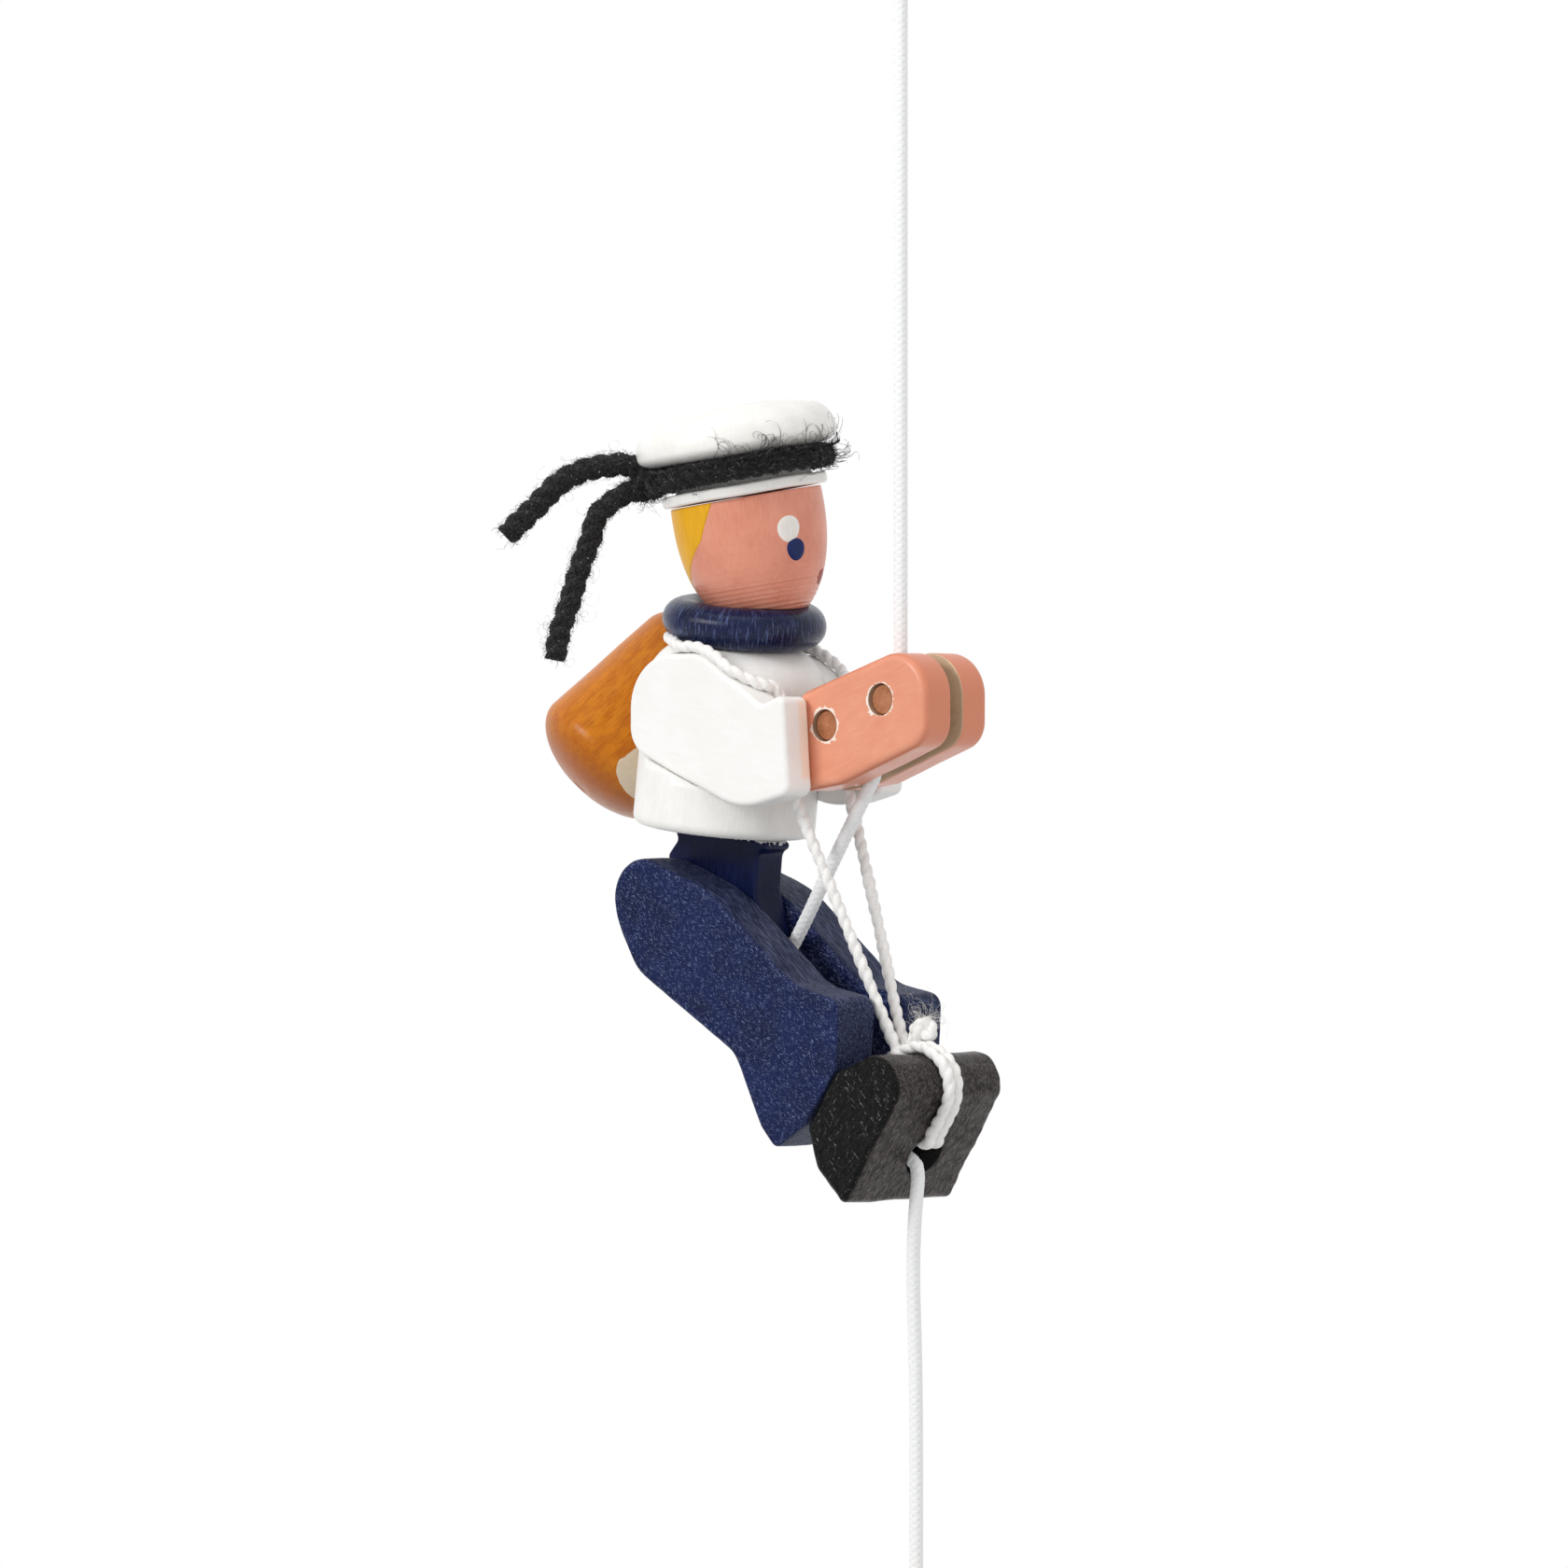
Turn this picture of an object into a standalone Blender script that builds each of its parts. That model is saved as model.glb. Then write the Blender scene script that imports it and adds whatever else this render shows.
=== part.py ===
"""Rope climbing toy: a wooden sailor that climbs a cord, hung from a loop.

The figure faces +X, its right side is at -Y and up is +Z. The origin is the
point where the cord's top loop hangs. Sizes are in metres.
"""
import math

import bmesh
import bpy
import numpy as np
from mathutils import Matrix, Vector

MM = 0.001

# Clearances
SEAT_GAP = 0.3 * MM            # between seated or glued pieces
PIN_FIT = 0.15 * MM            # round a fixed pin
PIN_PLAY = 0.25 * MM           # round a pin that turns
SIDE_PLAY = 0.3 * MM           # between the hip block and each leg
SLOT_PLAY = 0.3 * MM           # between the cord and each hand

# Climbing cord
CORD_RADIUS = 1.05 * MM
LOOP_LENGTH = 14.0 * MM        # inside the loop, from the hook to its knot
LOOP_HALF_WIDTH = 4.6 * MM
LOOP_KNOT_LENGTH = 5.6 * MM
LOOP_KNOT_RADIUS = 2.8 * MM
BEND_START = 148.0             # where the cord meets the knee's cord pin, 0 at +X and 90 at +Z
BEND_STEP = 12.0               # parts the two stretches that meet at the bend
PULL_BEAD_RADIUS = 7.0 * MM
PULL_BEAD_DROP = 267.5 * MM    # bead centre below the hook
END_KNOT_RADIUS = 2.6 * MM

# Hands: two halves with the cord between them, on two cross pins
HAND_THICKNESS = 5.8 * MM
HAND_EDGE = 1.3 * MM
HAND_PIN_RADIUS = 2.25 * MM
FRONT_PIN = (2.3 * MM, -126.9 * MM)
REAR_PIN_BACK = 11.2 * MM      # rear hand pin behind and below the front one
REAR_PIN_DOWN = 3.9 * MM

# Arms, let into pockets in the torso
ARM_THICKNESS = 5.8 * MM
ARM_EDGE = 0.6 * MM
SHOULDER_BACK = 35.3 * MM      # shoulder's middle behind the cord
SHOULDER_RADIUS = 8.5 * MM
SHOULDER_ROOF = 0.45 * MM      # wood left between each pocket and the collar's seat

# Torso and what stands on it
TORSO_RADIUS = 14.0 * MM
TORSO_CENTRE = (-34.6 * MM, -133.0 * MM)
TORSO_ABOVE = 15.2 * MM        # along its axis, from centre to top
TORSO_BELOW = 14.0 * MM
TORSO_LEAN = math.radians(7.0)
TORSO_SHOULDER_ROUND = 8.0 * MM
TORSO_FOOT_ROUND = 1.6 * MM
COLLAR_CENTRE = (-31.9 * MM, 0.0, -115.1 * MM)
COLLAR_RING_RADIUS = 9.35 * MM
COLLAR_TUBE_RADIUS = 3.25 * MM
COLLAR_LEAN = math.radians(8.2)
COLLAR_LEAN_SIDE = math.radians(3.2)
NECK_DOWEL_RADIUS = 3.0 * MM
NECK_DOWEL_DOWN = 10.0 * MM    # below and above the collar's centre
NECK_DOWEL_UP = 8.0 * MM
HEAD_TOP = (-30.5 * MM, -1.2 * MM, -96.1 * MM)
HEAD_LEAN_BACK = math.radians(6.5)
HEAD_LEAN_SIDE = math.radians(7.1)
HEAD_RADIUS = 11.65 * MM
HEAD_HEIGHT = 20.7 * MM
HEAD_BROW = 2.5 * MM           # widest ring, below the cap
HEAD_POWER = 2.15              # 2 is an ellipse, more is squarer
CAP_RIM_RADIUS = 12.7 * MM
CAP_RIM_HEIGHT = 1.75 * MM
CAP_GROOVE_RADIUS = 10.4 * MM
CAP_CROWN_RADIUS = 15.5 * MM
CAP_CROWN_HEIGHT = 7.6 * MM
YARN_RADIUS = 1.9 * MM
YARN_KNOT_RADIUS = 3.3 * MM
YARN_KNOT_ANGLE = math.radians(222.3)
YARN_TAIL_ROOTS = {            # from the knot's middle: outwards, along the band and up, in mm
    "yarn_tail_upper": [(2.3, 0.0, 3.5), (4.7, 0.0, 4.0)],
    "yarn_tail_lower": [(3.6, 0.0, -0.6), (5.3, 0.0, -1.2)],
}
YARN_TAILS = {                 # the rest of each tail, in mm
    "yarn_tail_upper": [(-48.5, -17.9, -91.9), (-51.4, -20.5, -93.9), (-54.2, -23.1, -97.7),
                        (-57.0, -25.7, -101.5)],
    "yarn_tail_lower": [(-47.1, -16.6, -98.8), (-47.9, -17.3, -102.4), (-49.1, -18.5, -107.0),
                        (-50.3, -19.5, -112.3), (-51.1, -20.3, -116.2), (-51.4, -20.5, -120.7)],
}

# Hip, legs and foot block
HIP_BLOCK_THICKNESS = 6.0 * MM
HIP_PIN = (-31.2 * MM, -159.7 * MM)
HIP_PIN_RADIUS = 2.5 * MM
HIP_EDGE = 0.3 * MM
TENON_HALF_WIDTH = 5.0 * MM
TENON_HEIGHT = 6.0 * MM
LEG_THICKNESS = 8.7 * MM
LEG_EDGE = 0.6 * MM
CORD_PIN_AHEAD = 5.1 * MM      # cord pin in front of and below the hip pin
CORD_PIN_DOWN = 15.7 * MM
CORD_PIN_RADIUS = 1.75 * MM
PIN_INSET = 0.1 * MM           # pin ends lie this far inside the wood
FOOT_EDGE = 0.8 * MM
FOOT_HOLE_RADIUS = 3.3 * MM
HOLE_ACROSS = 0.9 * MM         # the hole lies this far to the left of the middle
HOLE_CORD_ANGLE = 195          # where the cord lies in the hole: 180 at its right, 270 at its foot
HOLE_REACH = 25.0 * MM         # cutter for the foot's hole, each way from the sole
SOLE_EXIT_AHEAD = 34.45 * MM   # middle of the foot's hole in the sole, from the hip pin
SOLE_EXIT_DOWN = 35.7 * MM

# Kit bag on the back
BAG_RADIUS = 12.0 * MM
BAG_TOP_RADIUS = 10.4 * MM
BAG_LENGTH = 33.0 * MM
BAG_DOME = 6.7 * MM
BAG_END = (-64.8 * MM, -2.4 * MM, -140.7 * MM)
BAG_AXIS = (0.438, 0.537, 0.721)
BAG_FLAT_AT = 9.0 * MM         # worn flat, along the bag from its lower end
BAG_FLAT_DEPTH = 0.6 * MM
BAG_FLAT_WAY = (0.83, -0.38, -0.40)
BAG_PEG_RADIUS = 1.5 * MM
BAG_PEG_AT = 17.0 * MM         # peg, along the bag from its lower end
BAG_PEG_DEPTH = 5.0 * MM       # in the torso
BAG_PEG_WAY = (0.961, -0.276, 0.0)

# Elastic string
ELASTIC_RADIUS = 0.7 * MM
ELASTIC_KNOT_RADIUS = 2.0 * MM
WRAP_TURNS = 2
WRAP_STEP = 1.9 * MM           # sideways step of the winding for each turn
WRAP_SHIFT = 0.75 * MM         # the winding lies to the left of the middle,
WRAP_SKEW = 1.1 * MM           # and more so at the toe than in the hole
POINTS_PER_TURN = 24

# Finishes: colour, roughness
WHITE_PAINT = ((0.88, 0.87, 0.84), 0.35)
NAVY_PAINT = ((0.018, 0.032, 0.12), 0.40)
PINK_PAINT = ((0.78, 0.36, 0.24), 0.40)
BLACK_PAINT = ((0.018, 0.016, 0.015), 0.50)
AMBER_VARNISH = ((0.45, 0.17, 0.025), 0.25)
BARE_WOOD = ((0.55, 0.31, 0.15), 0.65)
WHITE_CORD = ((0.82, 0.82, 0.80), 0.85)
BLACK_WOOL = ((0.02, 0.02, 0.022), 0.95)

# Derived places and widths
SLOT_HALF = CORD_RADIUS + SLOT_PLAY
HAND_OUTER = SLOT_HALF + HAND_THICKNESS
ARM_INNER = HAND_OUTER + SEAT_GAP
ARM_OUTER = ARM_INNER + ARM_THICKNESS
LEG_INNER = HIP_BLOCK_THICKNESS / 2 + SIDE_PLAY
LEG_OUTER = LEG_INNER + LEG_THICKNESS
REAR_PIN = (FRONT_PIN[0] - REAR_PIN_BACK, FRONT_PIN[1] - REAR_PIN_DOWN)
CORD_PIN = (HIP_PIN[0] + CORD_PIN_AHEAD, HIP_PIN[1] - CORD_PIN_DOWN)
SOLE_EXIT = Vector((HIP_PIN[0] + SOLE_EXIT_AHEAD, HIP_PIN[1] - SOLE_EXIT_DOWN))
SIDES = ((-1, "right"), (1, "left"))


for old in list(bpy.data.objects):
    bpy.data.objects.remove(old, do_unlink=True)

parts = bpy.data.collections.new("rope_climbing_toy")
cutters = bpy.data.collections.new("cutters")
bpy.context.scene.collection.children.link(parts)
bpy.context.scene.collection.children.link(cutters)


def pivot(name, where):
    """An empty on a joint's axis, which carries the pieces that turn about it."""
    empty = bpy.data.objects.new(name, None)
    empty.location = (where[0], 0.0, where[1])
    parts.objects.link(empty)
    return empty


grip_pivot = pivot("grip_pivot", FRONT_PIN)
figure_pivot = pivot("figure_pivot", FRONT_PIN)
legs_pivot = pivot("legs_pivot", HIP_PIN)
bpy.context.view_layer.update()


def carried(piece, empty):
    """Hang a piece on a joint's empty, where it already stands."""
    piece.parent = empty
    piece.matrix_parent_inverse = empty.matrix_world.inverted()
    return piece


def finish(name, look):
    """A plain material with the piece's own colour and roughness."""
    material = bpy.data.materials.new(name + "_finish")
    material.use_nodes = True
    shader = material.node_tree.nodes["Principled BSDF"]
    shader.inputs["Base Color"].default_value = (*look[0], 1.0)
    shader.inputs["Roughness"].default_value = look[1]
    return material


def add_object(name, data, look):
    """Link a mesh or a curve as a part, or as a cutter when it has no look."""
    piece = bpy.data.objects.new(name, data)
    if look is None:
        cutters.objects.link(piece)
        piece.hide_render = True
        piece.display_type = "WIRE"
    else:
        parts.objects.link(piece)
        data.materials.append(finish(name, look))
    return piece


def smooth(piece, degrees=40):
    piece.data.shade_smooth()
    piece.data.set_sharp_from_angle(angle=math.radians(degrees))


def cut(piece, cutter):
    """Take the cutter's shape out of the piece."""
    boolean = piece.modifiers.new("cut_" + cutter.name, "BOOLEAN")
    boolean.operation = "DIFFERENCE"
    boolean.solver = "EXACT"
    boolean.object = cutter


def tilted(lean_x, lean_side):
    """Turn that leans +Z towards +X by lean_x and towards -Y by lean_side."""
    return Matrix.Rotation(lean_x, 4, "Y") @ Matrix.Rotation(lean_side, 4, "X")


def rounded_outline(corners, step=math.radians(18)):
    """Outline through corners (x, z, radius), each corner turned into an arc."""
    outline = []
    count = len(corners)
    for index, (x, z, radius) in enumerate(corners):
        here = Vector((x, z))
        if radius == 0.0:
            outline.append(here)
            continue
        back = (Vector(corners[index - 1][:2]) - here).normalized()
        ahead = (Vector(corners[(index + 1) % count][:2]) - here).normalized()
        half = back.angle(ahead) / 2
        centre = here + (back + ahead).normalized() * (radius / math.sin(half))
        first = here + back * (radius / math.tan(half)) - centre
        last = here + ahead * (radius / math.tan(half)) - centre
        start = math.atan2(first[1], first[0])
        turn = math.atan2(last[1], last[0]) - start
        turn = (turn + math.pi) % (2 * math.pi) - math.pi
        arcs = max(1, math.ceil(abs(turn) / step))
        for part in range(arcs + 1):
            angle = start + turn * part / arcs
            outline.append(centre + radius * Vector((math.cos(angle), math.sin(angle))))
    return outline


def grown(outline, spread):
    """The outline moved outwards by spread all round, with mitred corners."""
    points = np.array([tuple(point) for point in outline])
    ahead = np.roll(points, -1, axis=0)
    turn = np.sign(np.sum(points[:, 0] * ahead[:, 1] - ahead[:, 0] * points[:, 1]))
    along = ahead - points
    along /= np.linalg.norm(along, axis=1)[:, None]
    out = turn * np.stack([along[:, 1], -along[:, 0]], axis=1)
    before = np.roll(out, 1, axis=0)
    share = 1.0 + np.sum(out * before, axis=1)
    return points + spread * (out + before) / share[:, None]


def board(name, outline, low, high, edge, look):
    """A flat outline in X and Z, from y = low to y = high, with round edges."""
    curve = bpy.data.curves.new(name, "CURVE")
    curve.dimensions = "2D"
    curve.fill_mode = "BOTH"
    spline = curve.splines.new("POLY")
    spline.points.add(len(outline) - 1)
    for point, place in zip(spline.points, grown(outline, -edge)):
        point.co = (place[0], place[1], 0.0, 1.0)
    spline.use_cyclic_u = True
    curve.extrude = (high - low) / 2 - edge
    curve.bevel_depth = edge
    curve.bevel_resolution = 1
    flat = bpy.data.objects.new(name + "_outline", curve)
    bpy.context.scene.collection.objects.link(flat)
    graph = bpy.context.evaluated_depsgraph_get()
    mesh = bpy.data.meshes.new_from_object(flat.evaluated_get(graph))
    bpy.data.objects.remove(flat, do_unlink=True)
    shape = bmesh.new()
    shape.from_mesh(mesh)
    bmesh.ops.remove_doubles(shape, verts=shape.verts, dist=0.005 * MM)
    bmesh.ops.recalc_face_normals(shape, faces=shape.faces)
    shape.to_mesh(mesh)
    shape.free()
    mesh.name = name
    mesh.materials.clear()
    piece = add_object(name, mesh, look)
    piece.location = (0.0, (low + high) / 2, 0.0)
    piece.rotation_euler = (math.pi / 2, 0.0, 0.0)
    smooth(piece)
    return piece


def turned(name, profile, place, look, steps=32, closed=False):
    """Turn a profile of (radius, height), listed top to bottom, about local Z."""
    mesh = bpy.data.meshes.new(name)
    points = [(radius, 0.0, height) for radius, height in profile]
    edges = [(i, i + 1) for i in range(len(points) - 1)]
    if closed:
        edges.append((len(points) - 1, 0))
    mesh.from_pydata(points, edges, [])
    piece = add_object(name, mesh, look)
    piece.matrix_world = place
    screw = piece.modifiers.new("turn", "SCREW")
    screw.steps = steps
    screw.render_steps = steps
    screw.use_merge_vertices = True
    screw.merge_threshold = 0.01 * MM
    screw.use_smooth_shade = True
    return piece


def arc(radius, height, size, first, last, steps, rise=None):
    """Points (radius, height) on an arc, or an oval one, from angle first to last."""
    angles = np.radians(np.linspace(first, last, steps + 1))
    rise = size if rise is None else rise
    return [(radius + size * math.cos(a), height + rise * math.sin(a)) for a in angles]


def ring(name, place, ring_radius, tube_radius, look):
    """A round ring about local Z."""
    profile = arc(ring_radius, 0.0, tube_radius, 90, -240, 11)
    return turned(name, profile, place, look, closed=True)


def ball(name, radii, place, look):
    """A ball, or an egg with three unlike radii, about its own centre."""
    mesh = bpy.data.meshes.new(name)
    shape = bmesh.new()
    bmesh.ops.create_uvsphere(shape, u_segments=16, v_segments=10, radius=1.0)
    bmesh.ops.scale(shape, vec=radii, verts=shape.verts)
    shape.to_mesh(mesh)
    shape.free()
    piece = add_object(name, mesh, look)
    piece.matrix_world = place
    piece.data.shade_smooth()
    return piece


def rod(name, start, end, radius, look, sides=24):
    """A round rod between two points."""
    start = Vector(start)
    end = Vector(end)
    mesh = bpy.data.meshes.new(name)
    shape = bmesh.new()
    bmesh.ops.create_cone(shape, cap_ends=True, segments=sides, radius1=radius,
                          radius2=radius, depth=(end - start).length)
    shape.to_mesh(mesh)
    shape.free()
    piece = add_object(name, mesh, look)
    turn = (end - start).to_track_quat("Z", "Y").to_matrix().to_4x4()
    piece.matrix_world = Matrix.Translation((start + end) / 2) @ turn
    smooth(piece)
    return piece


def cross_pin(name, where, half, radius, look):
    """A pin across the figure, with its origin on its own axis."""
    return rod(name, (where[0], -half, where[1]), (where[0], half, where[1]), radius, look)


def block(name, low, high):
    """A box from corner to corner, as a cutter."""
    mesh = bpy.data.meshes.new(name)
    shape = bmesh.new()
    bmesh.ops.create_cube(shape, size=1.0)
    bmesh.ops.scale(shape, vec=Vector(high) - Vector(low), verts=shape.verts)
    shape.to_mesh(mesh)
    shape.free()
    piece = add_object(name, mesh, None)
    piece.location = (Vector(low) + Vector(high)) / 2
    return piece


def smooth_curve(stops, closed=False):
    """Fine points on a Catmull-Rom curve through the stops, and the run to each."""
    stops = np.asarray(stops, dtype=float)
    if closed:
        chain = np.concatenate([stops[-1:], stops, stops[:2]])
    else:
        chain = np.concatenate([[2 * stops[0] - stops[1]], stops, [2 * stops[-1] - stops[-2]]])
    fine = []
    for a, b, c, d in zip(chain, chain[1:], chain[2:], chain[3:]):
        t = np.linspace(0.0, 1.0, 24, endpoint=False)[:, None]
        fine.append(0.5 * (2 * b + (c - a) * t + (2 * a - 5 * b + 4 * c - d) * t ** 2
                           + (3 * b - a - 3 * c + d) * t ** 3))
    fine = np.concatenate(fine + [chain[-2:-1]])
    steps = np.linalg.norm(np.diff(fine, axis=0), axis=1)
    return fine, np.concatenate([[0.0], np.cumsum(steps)])


def along_curve(fine, run, wanted):
    """Points of the curve at the wanted runs along it."""
    return np.stack([np.interp(wanted, run, column) for column in fine.T], axis=1)


def smooth_route(stops, spacing):
    """Points at an even spacing on a smooth curve through the stops."""
    fine, run = smooth_curve(stops)
    count = max(2, round(run[-1] / spacing) + 1)
    return along_curve(fine, run, np.linspace(0.0, run[-1], count))


def string(name, points, radius, look, resolution=2):
    """A cord or string: one tube along the points, with closed ends."""
    curve = bpy.data.curves.new(name, "CURVE")
    curve.dimensions = "3D"
    curve.bevel_depth = radius
    curve.bevel_resolution = resolution
    curve.use_fill_caps = True
    spline = curve.splines.new("POLY")
    spline.points.add(len(points) - 1)
    for point, place in zip(spline.points, points):
        point.co = (*place, 1.0)
    spline.use_smooth = True
    return add_object(name, curve, look)


def least_gap(points, radius, near):
    """Least gap between stretches of one tube that are more than near points apart."""
    points = np.asarray(points)
    apart = np.linalg.norm(points[:, None] - points[None], axis=2)
    steps = np.abs(np.subtract.outer(np.arange(len(points)), np.arange(len(points))))
    return float(apart[steps > near].min() - 2 * radius)


def around(where, offsets):
    """Corners (x, z, radius) given in millimetres from a place, in metres."""
    return [(where[0] + x * MM, where[1] + z * MM, radius * MM) for x, z, radius in offsets]


# Torso, turned, leaning forward
torso_place = (Matrix.Translation((TORSO_CENTRE[0], 0.0, TORSO_CENTRE[1]))
               @ tilted(TORSO_LEAN, 0.0))
torso_axis = Vector((math.sin(TORSO_LEAN), math.cos(TORSO_LEAN)))
torso_along = Vector((math.cos(TORSO_LEAN), -math.sin(TORSO_LEAN)))
torso_foot = Vector(TORSO_CENTRE) - TORSO_BELOW * torso_axis
torso_profile = [(0.0, TORSO_ABOVE)]
torso_profile += arc(TORSO_RADIUS - TORSO_SHOULDER_ROUND, TORSO_ABOVE - TORSO_SHOULDER_ROUND,
                     TORSO_SHOULDER_ROUND, 90, 0, 6)
torso_profile += arc(TORSO_RADIUS - TORSO_FOOT_ROUND, TORSO_FOOT_ROUND - TORSO_BELOW,
                     TORSO_FOOT_ROUND, 0, -90, 3)
torso_profile += [(0.0, -TORSO_BELOW)]
torso = carried(turned("torso", torso_profile, torso_place, WHITE_PAINT, steps=40), figure_pivot)

# Arms, with a pocket for each in the torso, below the collar's seat
collar_low = (COLLAR_CENTRE[2] - COLLAR_RING_RADIUS * math.sin(COLLAR_LEAN_SIDE)
              - COLLAR_TUBE_RADIUS - SEAT_GAP)
shoulder_middle = (-SHOULDER_BACK, collar_low - SHOULDER_ROOF - SEAT_GAP - SHOULDER_RADIUS)
shoulder = SHOULDER_RADIUS / MM
arm_outline = rounded_outline(around(shoulder_middle, [
    (-shoulder, shoulder, shoulder),
    (6.4, shoulder, 8.0),
    (18.7, 0.7, 1.5),
    (23.3, 2.5, 1.0),
    (24.4, -12.7, 1.0),
    (14.4, -15.3, 14.0),
    (-shoulder, -5.9, 5.0),
]))
for side, label in SIDES:
    low, high = sorted((side * ARM_INNER, side * ARM_OUTER))
    arm = board("arm_" + label, arm_outline, low, high, ARM_EDGE, WHITE_PAINT)
    carried(arm, figure_pivot)
    low, high = sorted((side * (ARM_INNER - SEAT_GAP), side * (ARM_OUTER + TORSO_RADIUS)))
    pocket = board("pocket_" + label, grown(arm_outline, SEAT_GAP), low, high, 0.0, None)
    cut(torso, pocket)

# Hands: one rounded block, parted by the cord's slot
hand_outline = rounded_outline(around(FRONT_PIN, [
    (-16.8, 0.7, 1.4),
    (8.9, 8.7, 5.0),
    (8.9, -6.3, 2.2),
    (-8.3, -12.8, 6.0),
    (-16.8, -14.1, 1.4),
]))
hand_low = Vector(np.min(hand_outline, axis=0))
hand_high = Vector(np.max(hand_outline, axis=0))
front_hole = cross_pin("front_hole", FRONT_PIN, 2 * HAND_OUTER, HAND_PIN_RADIUS + PIN_PLAY, None)
rear_hole = cross_pin("rear_hole", REAR_PIN, 2 * HAND_OUTER, HAND_PIN_RADIUS + PIN_FIT, None)
for side, label in SIDES:
    hand = board("hand_" + label, hand_outline, -HAND_OUTER, HAND_OUTER, HAND_EDGE, PINK_PAINT)
    low, high = sorted((side * SLOT_HALF, -side * 2 * HAND_OUTER))
    other_half = block("other_half_" + label, (hand_low[0] - MM, low, hand_low[1] - MM),
                       (hand_high[0] + MM, high, hand_high[1] + MM))
    cut(hand, other_half)
    cut(hand, front_hole)
    cut(hand, rear_hole)
    carried(hand, figure_pivot)
pin_half = HAND_OUTER - PIN_INSET
carried(cross_pin("hand_pin_front", FRONT_PIN, pin_half, HAND_PIN_RADIUS, BARE_WOOD), grip_pivot)
carried(cross_pin("hand_pin_rear", REAR_PIN, pin_half, HAND_PIN_RADIUS, BARE_WOOD), figure_pivot)

# Collar, neck dowel and head
collar_place = Matrix.Translation(COLLAR_CENTRE) @ tilted(COLLAR_LEAN, COLLAR_LEAN_SIDE)
carried(ring("collar_ring", collar_place, COLLAR_RING_RADIUS, COLLAR_TUBE_RADIUS, NAVY_PAINT),
        figure_pivot)
collar_seat = ring("collar_seat", collar_place, COLLAR_RING_RADIUS,
                   COLLAR_TUBE_RADIUS + SEAT_GAP, None)
cut(torso, collar_seat)

head_place = Matrix.Translation(HEAD_TOP) @ tilted(-HEAD_LEAN_BACK, HEAD_LEAN_SIDE)
head_profile = [(0.0, 0.0)]
for step in range(15):
    drop = HEAD_HEIGHT * math.sin(math.pi / 2 * step / 14)
    share = abs(drop - HEAD_BROW) / (HEAD_HEIGHT - HEAD_BROW)
    width = max(0.0, 1.0 - share ** HEAD_POWER) ** (1 / HEAD_POWER)
    head_profile.append((HEAD_RADIUS * width, -drop))
head = carried(turned("head", head_profile, head_place, PINK_PAINT), figure_pivot)
cut(head, collar_seat)

neck_axis = collar_place.to_3x3() @ Vector((0.0, 0.0, 1.0))
neck_low = Vector(COLLAR_CENTRE) - neck_axis * NECK_DOWEL_DOWN
neck_high = Vector(COLLAR_CENTRE) + neck_axis * NECK_DOWEL_UP
carried(rod("neck_dowel", neck_low, neck_high, NECK_DOWEL_RADIUS, BARE_WOOD), figure_pivot)
neck_hole = rod("neck_hole", neck_low - neck_axis * SEAT_GAP, neck_high + neck_axis * SEAT_GAP,
                NECK_DOWEL_RADIUS + PIN_FIT, None)
cut(torso, neck_hole)
cut(head, neck_hole)

# Cap, with a groove for the yarn
rim_top = SEAT_GAP + CAP_RIM_HEIGHT
yarn_height = rim_top + SEAT_GAP + YARN_RADIUS
crown_low = yarn_height + YARN_RADIUS + SEAT_GAP
crown_top = crown_low + CAP_CROWN_HEIGHT
rim_round = 0.5 * MM
crown_round = 0.5 * CAP_CROWN_HEIGHT
cap_profile = [(0.0, crown_top), (0.3 * CAP_CROWN_RADIUS, crown_top - 0.03 * CAP_CROWN_HEIGHT),
               (0.55 * CAP_CROWN_RADIUS, crown_top - 0.12 * CAP_CROWN_HEIGHT)]
cap_profile += arc(CAP_CROWN_RADIUS - crown_round, crown_low + 0.24 * CAP_CROWN_HEIGHT,
                   crown_round, 68, 0, 4, rise=0.62 * CAP_CROWN_HEIGHT)
cap_profile += arc(CAP_CROWN_RADIUS - crown_round, crown_low + 0.24 * CAP_CROWN_HEIGHT,
                   crown_round, -20, -90, 3, rise=0.24 * CAP_CROWN_HEIGHT)
cap_profile += [(CAP_GROOVE_RADIUS, crown_low), (CAP_GROOVE_RADIUS, rim_top)]
cap_profile += arc(CAP_RIM_RADIUS - rim_round, rim_top - rim_round, rim_round, 90, 0, 2)
cap_profile += arc(CAP_RIM_RADIUS - rim_round, SEAT_GAP + rim_round, rim_round, 0, -90, 2)
cap_profile += [(0.0, SEAT_GAP)]
carried(turned("cap", cap_profile, head_place, WHITE_PAINT, steps=36), figure_pivot)

# Yarn hat band, open at its knot, and the two loose tails
band_radius = CAP_GROOVE_RADIUS + SEAT_GAP + YARN_RADIUS
band_place = head_place @ Matrix.Translation((0.0, 0.0, yarn_height))
knot_reach = CAP_GROOVE_RADIUS + 2 * SEAT_GAP + YARN_KNOT_RADIUS
knot_wide = 0.88 * YARN_KNOT_RADIUS
knot_high = YARN_RADIUS + SEAT_GAP / 2
knot_place = (band_place @ Matrix.Rotation(YARN_KNOT_ANGLE, 4, "Z")
              @ Matrix.Translation((knot_reach, 0.0, 0.0)))
carried(ball("yarn_knot", (YARN_KNOT_RADIUS, knot_wide, knot_high), knot_place, BLACK_WOOL),
        figure_pivot)
band_gap = math.asin((knot_wide + SEAT_GAP) / (band_radius + 0.4 * YARN_RADIUS))
band_turns = np.linspace(band_gap, 2 * math.pi - band_gap, POINTS_PER_TURN + 1) + YARN_KNOT_ANGLE
band_points = [band_place @ Vector((band_radius * math.cos(a), band_radius * math.sin(a), 0.0))
               for a in band_turns]
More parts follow.
